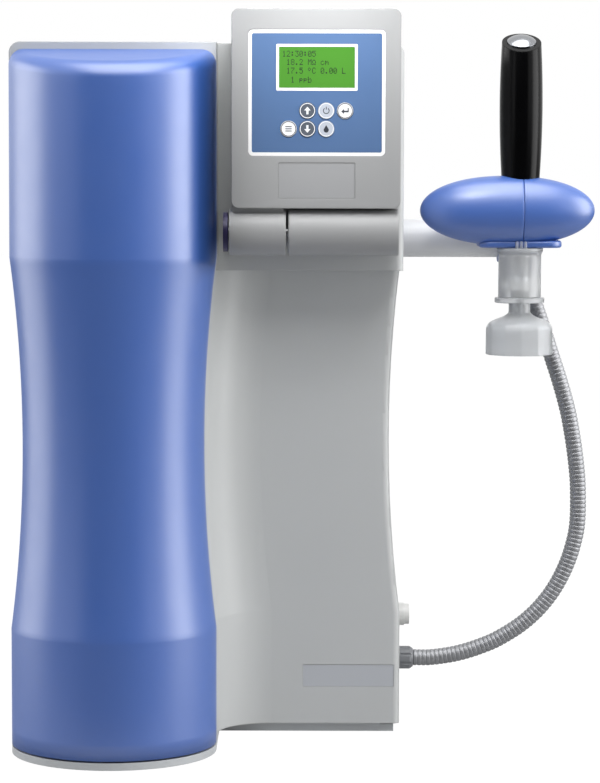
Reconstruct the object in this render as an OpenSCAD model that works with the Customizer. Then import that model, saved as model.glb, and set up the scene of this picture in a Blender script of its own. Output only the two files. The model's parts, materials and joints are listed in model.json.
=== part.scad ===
// Bench ultrapure water system: a tall housing with a waisted cartridge column on its left,
// a tilting control console, and a hand dispenser held on an arm and fed by a ribbed hose.
// Millimetres, +X right, +Y away from the user, +Z up. The origin is under the middle of the
// bounding box, on the surface that the feet stand on.

/* [Housing] */
// Width of the housing with its column
housing_w = 325; // [300:1:360]
// Height of the housing's flat top
housing_h = 588; // [560:1:620]
// Depth of the housing behind its lower front face
housing_d = 200; // [170:1:240]
// Wall of the moulded housing
wall = 3; // [2:0.5:4]
// Radius of the housing's upright front and rear corners
corner_r = 6; // [3:0.5:8]
// Radius of the housing's two top edges
top_r = 9; // [5:0.5:12]
// Height of the rubber feet below the base tray
foot_h = 1.5; // [1:0.5:4]
// Thickness of the base tray
tray_h = 6; // [4:0.5:9]
// Dark gap between the base tray and what stands over it
tray_gap = 1.5; // [1:0.25:3]
// Height where the waist of the sides begins
waist_lo = 105; // [90:1:120]
// Height where the waist of the sides ends
waist_hi = 412; // [400:1:416]
// How far the sides are drawn in at the waist
waist_in = 10; // [6:0.5:12]
// Radius of the upright fillet between column and front face
fillet_r = 45; // [35:1:50]

/* [Head] */
// How far the head stands out over the lower front face
head_reach = 45; // [35:1:50]
// Height of the head's lower lip
head_z = 400; // [392:1:406]

/* [Column] */
// Radius of the cartridge column
column_r = 85; // [80:0.5:92]
// Distance of the column's axis in front of the lower front face
column_setback = 75; // [70:1:80]
// Height of the column's top at its back edge
column_top = 582; // [570:1:584]
// Slope of the column's top down to the front, in degrees
top_slope = 9; // [5:0.5:12]
// Radius of the rounded top edge of the cartridge cover
cover_round = 10; // [6:0.5:12]
// Wall of the cartridge cover
cover_wall = 3; // [2:0.25:4]
// Radius of the cartridge bay
bay_r = 70; // [64:0.5:70.5]
// Radius of the treatment cartridge
cartridge_r = 55; // [45:1:60]
// Height of the treatment cartridge
cartridge_h = 450; // [380:5:455]

/* [Console] */
// Width of the control console
console_w = 138.6; // [134:0.2:148]
// Height of the console's upper edge
console_top = 615; // [600:1:640]
// Depth of the console
console_d = 32; // [26:1:34]
// Wall of the console
console_wall = 2.5; // [2:0.25:3]
// Corner radius of the console
console_r = 6; // [4:0.5:8]
// Width of the white frame round the keypad foil
foil_w = 112.5; // [108:0.5:116]
// Height of the white frame round the keypad foil
foil_h = 103; // [98:0.5:106]
// Border of the white frames
foil_border = 3; // [2:0.25:3.5]
// Thickness of the keypad foil and the frames
foil_t = 0.8; // [0.6:0.1:1]
// Width of the display window
lcd_w = 62; // [56:0.5:64]
// Height of the display window
lcd_h = 33.4; // [28:0.2:35]
// Diameter of a key
key_d = 13.1; // [11:0.1:13.4]
// Distance between key centres across
key_dx = 15.4; // [15:0.1:16.5]
// Distance between the two key rows
key_dz = 14.8; // [14.6:0.1:16]
// Travel of a key
key_travel = 0.5; // [0.3:0.05:0.8]
// Diameter of the hinge barrel under the console
barrel_d = 38.6; // [36:0.2:39]
// Diameter of the hinge pin
hinge_pin_d = 8; // [6:0.5:10]

/* [Arm] */
// Outer diameter of the arm tube
arm_d = 33; // [30:0.5:34]
// Height of the arm tube's axis
arm_z = 424; // [421:0.5:427]
// Wall of the arm tube
arm_wall = 2; // [1.5:0.25:3]
// Distance from the housing's side to the dispenser's axis
arm_reach = 101.5; // [96:0.5:115]

/* [Dispenser] */
// Length of the dispenser's blue pod
pod_l = 149; // [140:0.5:156]
// Height and depth of the pod
pod_d = 59.3; // [56:0.5:62]
// Radius of the pod's round ends
pod_end_r = 16; // [10:0.5:18]
// Height of the pod's axis
pod_z = 449.3; // [447:0.1:452]
// Wall of the pod
pod_wall = 5; // [4:0.5:6]
// Length of the grip above its seat
grip_l = 124; // [110:1:130]
// Widest radius of the grip
grip_r = 18.3; // [17:0.1:20]
// How much slimmer the grip is at its ends
grip_taper = 2.1; // [1:0.1:3]
// Slope of the grip's cut top, in degrees
grip_slope = 26; // [15:1:32]
// Diameter of the thumb button
thumb_d = 24.6; // [20:0.2:26]
// Travel of the thumb button
thumb_travel = 2.5; // [1.5:0.1:3]
// Outer radius of the point-of-use filter's collar
collar_r = 18.2; // [17:0.1:19]
// Height of the collar
collar_h = 36; // [32:0.5:38]
// Radius of the filter's bell
bell_r = 28.2; // [26:0.1:29]
// Height of the bell's straight skirt
bell_h = 22; // [18:0.5:26]
// Wall of the bell
bell_wall = 2; // [1.5:0.1:2.5]

/* [Hose] */
// Outer diameter of the ribbed hose
hose_d = 14; // [13:0.5:14.5]
// Bore of the hose
hose_bore = 9.5; // [8:0.25:10]
// Distance from rib to rib along the hose
rib_pitch = 3.75; // [3.5:0.05:5]
// Depth of the groove between two ribs
rib_depth = 0.9; // [0.4:0.1:1.2]
// Diameter of the hose nut on the housing
nut_d = 19.8; // [18:0.2:21]

/* [Rear] */
// How far the rear ports stand out
port_l = 12; // [10:0.5:18]
// Outer diameter of a rear water port
port_d = 14; // [12:0.5:16]
// Bore of a water port
port_bore = 8; // [6:0.5:8]

/* [Hidden] */

// Fits and gaps shared by several pieces
fit = 0.2;
running_fit = 0.05;
eps = 0.01;
far = 2000;
fine = 96;
mid = 64;
round_fn = 720;

// Places across the width, from the middle of the whole
pod_right_reach = arm_reach - 11 + pod_l / 2;
x_left = -(housing_w + pod_right_reach) / 2;
x_right = x_left + housing_w;
col_x = x_left + column_r;
col_right = col_x + column_r;
disp_x = x_right + arm_reach;
pod_x = disp_x - 11;

// Places in depth, from the middle of the whole
depth = column_r + column_setback + housing_d + port_l;
y_front = -depth / 2;
col_y = y_front + column_r;
face_y = col_y + column_setback;
head_y = face_y - head_reach;
rear_y = face_y + housing_d;
barrel_y = head_y - 1.7 - barrel_d / 2;
console_y = barrel_y - console_d / 2;
console_rear = barrel_y + console_d / 2;
disp_y = face_y + 16;
hose_y = disp_y + 28;
arm_y = disp_y + 62;

// Heights
console_drop = 182.4;
console_clear = 0.4;
tray_top = foot_h + tray_h;
body_z = tray_top + tray_gap;
waist_mid = (waist_lo + waist_hi) / 2;
waist_half = (waist_hi - waist_lo) / 2;
waist_r = (waist_half * waist_half + waist_in * waist_in) / (2 * waist_in);
bay_z = body_z + 12;
bay_top = column_top - 36;
barrel_z = console_top - console_drop;
console_z = barrel_z + barrel_d / 2 + console_clear;

// ---------- Housing ----------

// The space outside a side wall and round its upright corners, as a section across the wall:
// x is the distance out from the wall, y runs from the front corner to the rear corner.
module side_space_2d(y0, y1, r) {
    difference() {
        translate([-r, y0 - 30]) square([r + 45, y1 - y0 + 60]);
        translate([-r - 5, y0 + r]) square([r + 5, y1 - y0 - 2 * r]);
        translate([-r, y0 + r]) circle(r = r, $fn = mid);
        translate([-r, y1 - r]) circle(r = r, $fn = mid);
    }
}

// The same space swept up the wall, straight and along the waist's arc
module side_space(y0, y1, r) {
    translate([0, 0, -1]) linear_extrude(far / 2) side_space_2d(y0, y1, r);
    translate([waist_r - waist_in, 0, waist_mid]) rotate([-90, 0, 0])
        rotate_extrude($fn = round_fn)
            translate([waist_r, 0]) mirror([1, 0]) side_space_2d(y0, y1, r);
}

module right_space(y0, y1, r) {
    translate([x_right, 0, 0]) side_space(y0, y1, r);
}

module left_space(y0, y1, r) {
    translate([x_left, 0, 0]) mirror([1, 0, 0]) side_space(y0, y1, r);
}

// Front outline between two upright sides, drawn in at the waist and inset by a wall
module front_outline(x0, x1, z0, z1, inset, top) {
    r = top - inset;
    difference() {
        translate([x0 + inset, z0]) square([x1 - x0 - 2 * inset, z1 - z0]);
        translate([x0 - waist_r + waist_in, waist_mid]) circle(r = waist_r + inset, $fn = round_fn);
        translate([x1 + waist_r - waist_in, waist_mid]) circle(r = waist_r + inset, $fn = round_fn);
        for (side = [0, 1])
            translate([side == 0 ? x0 + inset : x1 - inset, z1])
                mirror([side, 0])
                    difference() {
                        translate([-1, -r]) square(r + 1);
                        translate([r, -r]) circle(r = r, $fn = mid);
                    }
    }
}

module extrude_y(y0, y1) {
    translate([0, y1, 0]) rotate([90, 0, 0]) linear_extrude(y1 - y0) children();
}

// The space right of the column and in front of the face, with its upright inside fillet
module fillet_space_2d() {
    translate([0, col_y - 40]) square([fillet_r + 30, face_y - fillet_r - col_y + 40]);
    translate([fillet_r, col_y - 40]) square([30, face_y - col_y + 40]);
    translate([fillet_r, face_y - fillet_r]) circle(r = fillet_r, $fn = fine);
}

module fillet_space() {
    translate([col_right, 0, -1]) linear_extrude(far / 2) fillet_space_2d();
    translate([col_right + waist_r - waist_in, 0, waist_mid]) rotate([-90, 0, 0])
        rotate_extrude($fn = round_fn)
            translate([waist_r, 0]) mirror([1, 0]) fillet_space_2d();
}

// Everything above or below a height
module above(z) {
    translate([-far / 2, -far / 2, z]) cube([far, far, far]);
}

module below(z) {
    translate([-far / 2, -far / 2, z - far]) cube([far, far, far]);
}

// A square bar that leaves a round edge along Y, at the top of a side
module top_edge_space(x, side) {
    translate([x, 0, housing_h]) mirror([side, 0, 0]) extrude_y(y_front - 5, rear_y + 5)
        difference() {
            translate([-top_r, -top_r]) square(top_r + 5);
            translate([-top_r, -top_r]) circle(r = top_r, $fn = mid);
        }
}

module housing_body() {
    difference() {
        union() {
            translate([x_left, face_y, body_z]) cube([housing_w, housing_d, housing_h - body_z]);
            translate([x_left, col_y, body_z])
                cube([2 * column_r, column_setback + 1, housing_h - body_z]);
            translate([col_right - 1, face_y - fillet_r, body_z])
                cube([fillet_r + 1, fillet_r + 1, head_z - body_z]);
        }
        fillet_space();
        intersection() {
            right_space(face_y, rear_y, corner_r);
            below(head_z);
        }
    }
    translate([col_right - 15, head_y, head_z])
        cube([x_right - col_right + 15, head_reach + 1, housing_h - head_z]);
}

module housing_outer() {
    difference() {
        housing_body();
        intersection() {
            right_space(head_y, rear_y, corner_r);
            above(head_z);
        }
        left_space(col_y - 100, rear_y, corner_r);
        top_edge_space(x_left, 1);
        top_edge_space(x_right, 0);
    }
}

// The housing is three mouldings: the rear one is everything behind this plane, the shell in
// front of it carries the column and the lower face, and the head is a box under the console
split_y = face_y + wall;

module front_zone() {
    translate([-far / 2, y_front - 10, -10]) cube([far, split_y - y_front + 10, far]);
}

module head_zone() {
    translate([col_right, y_front - 10, head_z]) cube([far, split_y - y_front + 10, far]);
}

module rear_housing() {
    color([0.80, 0.81, 0.83]) difference() {
        housing_outer();
        front_zone();
        extrude_y(split_y - 1, rear_y + 1)
            front_outline(x_left, x_right, body_z + wall, housing_h - wall, wall, top_r);
        arm_axis(x_right - 2 * wall) cylinder(r = arm_d / 2 + fit, h = 4 * wall, $fn = mid);
        side_hole(hose_y, hose_z) cylinder(r = hose_bore / 2, h = 30, $fn = mid);
        side_hole(side_port_y, port_z) cylinder(r = port_bore / 2 + port_wall, h = 30, $fn = mid);
    }
}

module front_shell() {
    color([0.80, 0.81, 0.83]) difference() {
        intersection() {
            housing_outer();
            front_zone();
        }
        head_zone();
        translate([col_x, col_y, bay_z]) cylinder(r = bay_r, h = bay_top - bay_z, $fn = fine);
        label_place(label_depth);
    }
}

module head_front() {
    color([0.80, 0.81, 0.83]) difference() {
        translate([col_right, head_y, head_z])
            cube([x_right - col_right, split_y - head_y, housing_h - head_z]);
        top_edge_space(x_right, 0);
        translate([0, 0, head_z - 1]) linear_extrude(far / 2) difference() {
            translate([x_right - corner_r, head_y - 5]) square(corner_r + 5);
            translate([x_right - corner_r, head_y + corner_r]) circle(r = corner_r, $fn = mid);
        }
        translate([col_right + wall, head_y + wall, head_z + wall])
            cube([x_right - col_right - 2 * wall, head_reach + 1, housing_h - head_z - top_r - wall]);
    }
}

port_wall = 2;
hose_z = 59;
port_z = hose_z + 34;
side_port_y = hose_y + 27;

module side_hole(y, z) {
    translate([x_right - 20, y, z]) rotate([0, 90, 0]) children();
}

// The bare recess for a label low on the front face
label_w = 78;
label_h = 19;
label_x = x_right - 83;
label_z = 41;
label_depth = 0.6;

module label_place(depth) {
    translate([label_x, face_y - 1, label_z]) cube([label_w, depth + 1, label_h]);
}

module housing_label() {
    color([0.76, 0.77, 0.79])
        translate([label_x + fit, face_y + fit, label_z + fit])
            cube([label_w - 2 * fit, label_depth - fit, label_h - 2 * fit]);
}

// Base tray: the column's round rim and a body set in a little under the housing
tray_inset = 5;

module tray_outline(inset) {
    translate([col_x, col_y]) circle(r = column_r - inset, $fn = fine);
    translate([x_left + inset, col_y]) square([2 * column_r - 2 * inset, column_setback + 20]);
    translate([x_left + inset + tray_inset, face_y + tray_inset])
        square([housing_w - 2 * inset - 2 * tray_inset, housing_d - 2 * tray_inset]);
}

module base_tray() {
    color([0.66, 0.68, 0.71]) {
        translate([0, 0, foot_h]) linear_extrude(tray_h) tray_outline(0);
        translate([0, 0, tray_top - eps]) linear_extrude(tray_gap + eps) difference() {
            tray_outline(12);
            translate([-far / 2, col_y - far]) square([far, far]);
        }
    }
}

foot_r = 12;
foot_at = [[x_left + 30, col_y - 30], [x_right - 26, face_y + 28],
    [x_left + 26, rear_y - 28], [x_right - 26, rear_y - 28]];

module foot(i) {
    color([0.12, 0.12, 0.13]) translate([foot_at[i][0], foot_at[i][1], 0])
        cylinder(r = foot_r, h = foot_h, $fn = mid);
}

module back_panel() {
    color([0.70, 0.71, 0.73]) difference() {
        extrude_y(rear_y - wall, rear_y)
            front_outline(x_left, x_right, body_z + wall + fit, housing_h - wall - fit, wall + fit, top_r);
        for (row = [0:9])
            for (side = [-1, 1])
                translate([vent_x + side * 42 - vent_w / 2, rear_y - wall - 1, vent_z + row * vent_pitch])
                    cube([vent_w, wall + 2, vent_h]);
        for (x = [feed_x, drain_x])
            translate([x, rear_y - wall - 1, rear_port_z]) rotate([-90, 0, 0])
                cylinder(r = port_bore / 2 + port_wall, h = wall + 2, $fn = mid);
    }
}

vent_w = 64;
vent_h = 4;
vent_pitch = 10;
vent_z = 400;
vent_x = x_left + housing_w / 2;
feed_x = x_right - 50;
drain_x = x_right - 90;
rear_port_z = 70;

module rear_port(x) {
    color([0.88, 0.88, 0.86]) translate([x, rear_y, rear_port_z]) rotate([-90, 0, 0]) difference() {
        union() {
            cylinder(r = port_d / 2, h = port_l, $fn = mid);
            cylinder(r = port_d / 2 + 4, h = 4, $fn = 6);
        }
        translate([0, 0, -1]) cylinder(r = port_bore / 2, h = port_l + 2, $fn = mid);
    }
}

module mains_inlet() {
    w = 48;
    h = 28;
    color([0.10, 0.10, 0.11]) translate([x_left + 60, rear_y, 56]) difference() {
        cube([w, 6, h]);
        translate([8, 2, 4]) cube([w - 16, 5, h - 8]);
    }
}

// ---------- Cartridge column ----------

// Half section of the waisted column, drawn in by an inset
module column_2d(inset, z0) {
    difference() {
        translate([0, z0]) square([column_r - inset, housing_h]);
        translate([column_r - waist_in + waist_r, waist_mid])
            circle(r = waist_r + inset, $fn = round_fn);
    }
}

// A slanted round-edged top that widens below, to cut the column's top with
module slanted_top(inset) {
    r = column_r - 0.4 - inset;
    e = cover_round - inset;
    drop = column_top;
    translate([col_x, col_y, column_top]) rotate([top_slope, 0, 0]) translate([0, 0, -inset])
        rotate_extrude($fn = fine) {
            translate([0, -e]) square([r - e, e]);
            intersection() {
                translate([r - e, -e]) circle(r = e, $fn = mid);
                translate([0, -e]) square([r, e]);
            }
            polygon([[0, -e - drop], [r + 0.3 * drop, -e - drop], [r, -e], [0, -e]]);
        }
}

module column_solid(inset, z0) {
    intersection() {
        translate([col_x, col_y, 0]) rotate_extrude($fn = fine) column_2d(inset, z0);
        slanted_top(inset);
    }
}

module cartridge_cover() {
    color([0.36, 0.49, 0.68]) difference() {
        column_solid(0, body_z);
        column_solid(cover_wall, body_z - 1);
        translate([-far / 2, col_y - fit, -1]) cube([far, far, far]);
    }
}

neck_r = 22;
head_h = 34;

module cartridge() {
    color([0.93, 0.93, 0.92]) translate([col_x, col_y, bay_z]) {
        cylinder(r = cartridge_r - 3, h = 8, $fn = fine);
        translate([0, 0, 8]) cylinder(r = cartridge_r, h = cartridge_h - 24, $fn = fine);
        translate([0, 0, cartridge_h - 16 - eps])
            cylinder(r1 = cartridge_r, r2 = neck_r, h = 10, $fn = fine);
        translate([0, 0, cartridge_h - 6 - 2 * eps]) cylinder(r = neck_r, h = 6, $fn = mid);
    }
}

module cartridge_head() {
    color([0.30, 0.32, 0.35]) translate([col_x, col_y, bay_z + cartridge_h]) {
        cylinder(r = cartridge_r - 14, h = head_h, $fn = fine);
        translate([-25, 0, 4]) cube([50, bay_r - 6, head_h - 8]);
    }
}

// ---------- Inside the housing ----------

chassis_y = face_y + 106;
chassis_t = 2;
floor_z = body_z + wall;

module chassis() {
    color([0.72, 0.73, 0.74]) translate([x_left + 20, chassis_y, floor_z])
        cube([housing_w - 40, chassis_t, housing_h - wall - floor_z - 40]);
}

canister_z = 70;
cap_h = 16;
cap_rim = 3;
clip_w = 16;
clip_h = 14;
board_stand = 10;
canister_gap = board_stand + cap_rim + 1;
uv_r = 28;
uv_h = 300;
uv_x = x_right - 62;
filter_r = 22;
filter_h = 280;
filter_x = x_right - 142;

// An upright canister with caps, held to the front of the chassis by two clips
module canister(x, r, h) {
    translate([x, chassis_y - r - canister_gap, canister_z]) {
        cylinder(r = r, h = h, $fn = mid);
        cylinder(r = r + cap_rim, h = cap_h, $fn = mid);
        translate([0, 0, h - cap_h]) cylinder(r = r + cap_rim, h = cap_h, $fn = mid);
        for (z = [h * 0.25, h * 0.75])
            translate([-clip_w / 2, 0, z]) cube([clip_w, r + canister_gap, clip_h]);
    }
}

module uv_reactor() {
    color([0.76, 0.77, 0.79]) canister(uv_x, uv_r, uv_h);
}

module ultrafilter() {
    color([0.90, 0.91, 0.90]) canister(filter_x, filter_r, filter_h);
}

pump_x = x_left + 85;
pump_r = 30;
pump_z = floor_z + 50;
motor_h = 95;

pump_head_h = 38;
pump_gap = 6;

// The motor with its foot on the chassis, and the pump's head with two ports on top of it
module pump() {
    color([0.20, 0.21, 0.23]) translate([pump_x, chassis_y - pump_r - pump_gap, pump_z]) {
        cylinder(r = pump_r, h = motor_h, $fn = mid);
        translate([-12, 0, 10]) cube([24, pump_r + pump_gap, motor_h - 20]);
        translate([0, 0, motor_h - eps]) cylinder(r = pump_r - 2, h = pump_head_h, $fn = mid);
        for (side = [-1, 1])
            translate([side * 14, 0, motor_h + pump_head_h - 2 * eps]) cylinder(r = 6, h = 16, $fn = mid);
    }
}

module solenoid_valve() {
    color([0.16, 0.17, 0.18]) translate([x_right - 66, chassis_y + chassis_t, 250]) {
        cube([34, 30, 40]);
        translate([17, 15, 40 - eps]) cylinder(r = 11, h = 22, $fn = mid);
    }
}

module conductivity_cell() {
    color([0.72, 0.74, 0.77]) translate([x_right - 120, chassis_y + chassis_t + 16, 240]) {
        cylinder(r = 11, h = 64, $fn = mid);
        translate([-6, -16, 20]) cube([12, 16, 20]);
    }
}

supply_w = 96;
supply_d = 44;
supply_h = 170;
supply_z = 120;

module power_supply() {
    color([0.62, 0.63, 0.65]) translate([x_left + 48, chassis_y + chassis_t, supply_z])
        cube([supply_w, supply_d, supply_h]);
}

board_size = 110;
board_t = 1.6;
board_edge = 8;
board_z = housing_h - board_size - 58;

module control_board() {
    color([0.10, 0.36, 0.20]) translate([x_right - board_size - 25, chassis_y - board_stand, board_z]) {
        cube([board_size, board_t, board_size]);
        for (x = [board_edge, board_size - board_edge])
            for (z = [board_edge, board_size - board_edge])
                translate([x, board_t - eps, z]) rotate([-90, 0, 0])
                    cylinder(r = 3, h = board_stand - board_t + eps, $fn = mid);
    }
}

// ---------- Console ----------

console_gap = 12.3;
foil_margin = 13.6;
console_x = col_right + console_gap;
foil_x = console_x + foil_margin;
foil_z = console_top - 17 - foil_h;
field_w = foil_w - 2 * foil_border;
field_h = foil_h - 2 * foil_border;
lcd_x = foil_x + foil_w / 2 - lcd_w / 2;
lcd_z = foil_z + foil_h - 14 - lcd_h;
lcd_border = 2.2;
key_x = foil_x + foil_w / 2 - 0.5 * key_dx;
key_z = lcd_z - 18.5;
key_r = key_d / 2;
key_guard = 0.25;
key_flange = 1;
key_depth = 8;
key_proud = key_travel + 0.1;
board_gap = 1.3;
board_y = console_y + key_depth - key_proud + key_travel + board_gap;

// key places as steps from the upper left key: menu, up, standby, enter, down, dispense
key_at = [[-1, -1], [0, 0], [1, 0], [2, 0], [0, -1], [1, -1]];

module rounded_rect(w, h, r) {
    for (x = [r, w - r])
        for (y = [r, h - r])
            translate([x, y]) circle(r = r, $fn = mid);
    translate([r, 0]) square([w - 2 * r, h]);
    translate([0, r]) square([w, h - 2 * r]);
}

// A plate that faces the user, with its lower left corner at x, z
module plate(x, z, w, h, r, y0, y1) {
    extrude_y(y0, y1) translate([x, z]) rounded_rect(w, h, r);
}

module key_holes(extra, y0, y1) {
    for (at = key_at)
        translate([key_x + at[0] * key_dx, y0, key_z + at[1] * key_dz]) rotate([-90, 0, 0])
            cylinder(r = key_r + extra, h = y1 - y0, $fn = mid);
}

module on_hinge(x0) {
    translate([x0, barrel_y, barrel_z]) rotate([0, 90, 0]) children();
}

knuckle_l = 46.6;
knuckle_gap = 2;
knuckle_out = 1.9;
bracket_l = 91;
knuckle_x = console_x - knuckle_out;
bracket_x = knuckle_x + knuckle_l + knuckle_gap;

module console_shell() {
    color([0.86, 0.87, 0.89]) difference() {
        union() {
            plate(console_x, console_z, console_w, console_top - console_z, console_r,
                console_y, console_rear - 4);
            on_hinge(knuckle_x) cylinder(d = barrel_d, h = knuckle_l, $fn = fine);
            translate([knuckle_x + 2, barrel_y - 10, barrel_z]) cube([knuckle_l - 4, 20, barrel_d / 2 + 2]);
        }
        plate(console_x + console_wall, console_z + console_wall, console_w - 2 * console_wall,
            console_top - console_z - 2 * console_wall, console_r - console_wall,
            console_y + foil_t + console_wall, console_rear);
        plate(foil_x, foil_z, foil_w, foil_h, 4, console_y - 1, console_y + foil_t);
        plate(lcd_x - 1, lcd_z - 1, lcd_w + 2, lcd_h + 2, 1, console_y - 1, console_rear);
        plate(clabel_x, clabel_z, clabel_w, clabel_h, 1, console_y - 1, console_y + label_depth);
        key_holes(key_guard, console_y - 1, console_rear);
        on_hinge(knuckle_x - 1) cylinder(d = hinge_pin_d + 2 * running_fit, h = knuckle_l + 2, $fn = mid);
    }
}

module console_back() {
    color([0.74, 0.75, 0.77])
        plate(console_x, console_z, console_w, console_top - console_z, console_r,
            console_rear - 4, console_rear);
}

carrier_t = 0.3;

// The foil's white carrier sheet, which stands out as a frame round the field and the display
module foil_frame() {
    color([0.93, 0.94, 0.95]) difference() {
        plate(foil_x + fit, foil_z + fit, foil_w - 2 * fit, foil_h - 2 * fit, 4,
            console_y, console_y + foil_t);
        difference() {
            plate(foil_x + foil_border, foil_z + foil_border, field_w, field_h, 1.5,
                console_y - 1, console_y + foil_t - carrier_t);
            plate(lcd_x - lcd_border, lcd_z - lcd_border, lcd_w + 2 * lcd_border,
                lcd_h + 2 * lcd_border, 1, console_y - 2, console_y + foil_t);
        }
        plate(lcd_x, lcd_z, lcd_w, lcd_h, 0.6, console_y - 1, console_y + foil_t + 1);
        key_holes(key_guard, console_y - 1, console_y + foil_t + 1);
    }
}

module foil_field() {
    color([0.38, 0.51, 0.69]) difference() {
        plate(foil_x + foil_border + fit / 2, foil_z + foil_border + fit / 2, field_w - fit, field_h - fit,
            1.5, console_y + 0.15, console_y + foil_t - carrier_t);
        plate(lcd_x - lcd_border - fit / 2, lcd_z - lcd_border - fit / 2, lcd_w + 2 * lcd_border + fit,
            lcd_h + 2 * lcd_border + fit, 1, console_y - 1, console_y + foil_t + 1);
        key_holes(key_guard, console_y - 1, console_y + foil_t + 1);
    }
}

module lcd_window() {
    color([0.46, 0.75, 0.24])
        plate(lcd_x + fit / 2, lcd_z + fit / 2, lcd_w - fit, lcd_h - fit, 0.6,
            console_y + 0.3, console_y + 3);
}

module lcd_module() {
    color([0.08, 0.24, 0.14])
        plate(lcd_x + fit, lcd_z + fit, lcd_w - 2 * fit, lcd_h - 2 * fit, 1, console_y + 3, board_y);
}

module key(i, tint) {
    at = key_at[i];
    color(tint) translate([key_x + at[0] * key_dx, console_y - key_proud, key_z + at[1] * key_dz])
        rotate([-90, 0, 0]) {
            cylinder(r = key_r, h = key_depth, $fn = mid);
            translate([0, 0, key_proud + foil_t + console_wall + 0.3])
                cylinder(r = key_r + 0.7, h = key_flange, $fn = mid);
        }
}

module key_board() {
    color([0.10, 0.36, 0.20])
        plate(foil_x - 4, foil_z - 4, foil_w + 8, key_z - foil_z + 38, 2, board_y, board_y + board_t);
}

clabel_w = 62.5;
clabel_h = 29;
clabel_x = foil_x + foil_w / 2 - clabel_w / 2;
clabel_z = foil_z - 5.5 - clabel_h;

module console_label() {
    color([0.80, 0.81, 0.83])
        plate(clabel_x + fit, clabel_z + fit, clabel_w - 2 * fit, clabel_h - 2 * fit, 1,
            console_y + fit, console_y + label_depth);
}

bracket_h = 25;
bracket_z = barrel_z - 13;

module hinge_bracket() {
    color([0.84, 0.85, 0.87]) difference() {
        union() {
            on_hinge(bracket_x) cylinder(d = barrel_d, h = bracket_l, $fn = fine);
            translate([bracket_x + 3, barrel_y, bracket_z])
                cube([bracket_l - 6, head_y - barrel_y, max(bracket_h, head_z + 15 - bracket_z)]);
        }
        on_hinge(knuckle_x + knuckle_l) cylinder(d = hinge_pin_d + 2 * running_fit, h = 60 + knuckle_gap,
            $fn = mid);
    }
}

module hinge_pin() {
    color([0.70, 0.71, 0.72]) on_hinge(knuckle_x - 1)
        cylinder(d = hinge_pin_d, h = knuckle_l + 61, $fn = mid);
}

module hinge_cap() {
    color([0.20, 0.18, 0.34]) on_hinge(knuckle_x - 5) {
        cylinder(d = barrel_d - 6, h = 4, $fn = fine);
        translate([0, 0, 1]) cylinder(d = hinge_pin_d + 4, h = 3, $fn = mid);
    }
}

// ---------- Arm ----------

module arm_axis(x) {
    translate([x, arm_y, arm_z]) rotate([0, 90, 0]) children();
}

arm_inside = 24;
hanger_l = 30;
arm_end = disp_x + hanger_l / 2;

module arm_tube() {
    color([0.89, 0.90, 0.91]) difference() {
        arm_axis(x_right - arm_inside) cylinder(d = arm_d, h = arm_end - x_right + arm_inside, $fn = fine);
        arm_axis(x_right - arm_inside - 1)
            cylinder(d = arm_d - 2 * arm_wall, h = arm_end - x_right + arm_inside + 2, $fn = fine);
    }
}

// How far the waist draws a side in at a height
function drawn_in(z) = abs(z - waist_mid) > waist_half ? 0
    : waist_in - waist_r + sqrt(waist_r * waist_r - (z - waist_mid) * (z - waist_mid));

flange_rim = 12;
arm_flange_t = 7.6;
flange_face = x_right - wall - drawn_in(arm_z - arm_d / 2 - flange_rim) - 2 * fit;

module arm_flange() {
    color([0.66, 0.67, 0.69]) difference() {
        arm_axis(flange_face - arm_flange_t)
            cylinder(d = arm_d + 2 * flange_rim, h = arm_flange_t, $fn = fine);
        arm_axis(flange_face - arm_flange_t - 1)
            cylinder(d = arm_d + fit, h = arm_flange_t + 2, $fn = fine);
    }
}

module arm_end_cap() {
    color([0.80, 0.81, 0.83]) {
        arm_axis(arm_end) cylinder(d = arm_d, h = 3, $fn = fine);
        arm_axis(arm_end - 6) cylinder(d = arm_d - 2 * arm_wall - fit, h = 6 + eps, $fn = fine);
    }
}

tongue_w = 18;
tongue_h = 12;
tongue_x = disp_x - 24;
tongue_z = arm_z + 10;
tongue_y = disp_y + 12;

module tongue(extra) {
    translate([tongue_x - extra, tongue_y - extra, tongue_z - extra])
        cube([tongue_w + 2 * extra, arm_y - 8 - tongue_y, tongue_h + 2 * extra]);
}

module hanger() {
    color([0.33, 0.45, 0.63]) difference() {
        union() {
            arm_axis(disp_x - hanger_l / 2) cylinder(d = arm_d + 8, h = hanger_l, $fn = fine);
            tongue(0);
        }
        arm_axis(disp_x - 60) cylinder(d = arm_d + fit, h = 120, $fn = fine);
    }
}

// ---------- Dispenser ----------

// The pod is turned about its own long axis: a long arc between two round ends
function pod_arc_r(l, d, e) =
    let (a = l / 2 - e) (a * a + d * d / 4 - e * e) / (d - 2 * e);

module pod_2d(inset) {
    l = pod_l - 2 * inset;
    d = pod_d - 2 * inset;
    e = pod_end_r - inset;
    big = pod_arc_r(l, d, e);
    a = l / 2 - e;
    cut = a * big / (big - e);
    intersection() {
        translate([0, -l]) square([l, 2 * l]);
        union() {
            intersection() {
                translate([d / 2 - big, 0]) circle(r = big, $fn = round_fn);
                translate([-1, -cut]) square([d, 2 * cut]);
            }
            for (side = [-1, 1])
                translate([0, side * a]) circle(r = e, $fn = mid);
        }
    }
}

module pod_form(inset) {
    translate([pod_x, disp_y, pod_z]) rotate([30, 0, 0]) rotate([0, 90, 0])
        rotate_extrude($fn = fine) pod_2d(inset);
}

pod_flat_z = pod_z - pod_d / 2 + 3.15;
pod_part_x = disp_x + 1.5;
grip_z = pod_z + pod_d / 2 - 3;
grip_top = grip_z + grip_l;
grip_end_r = grip_r - grip_taper;

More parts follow.
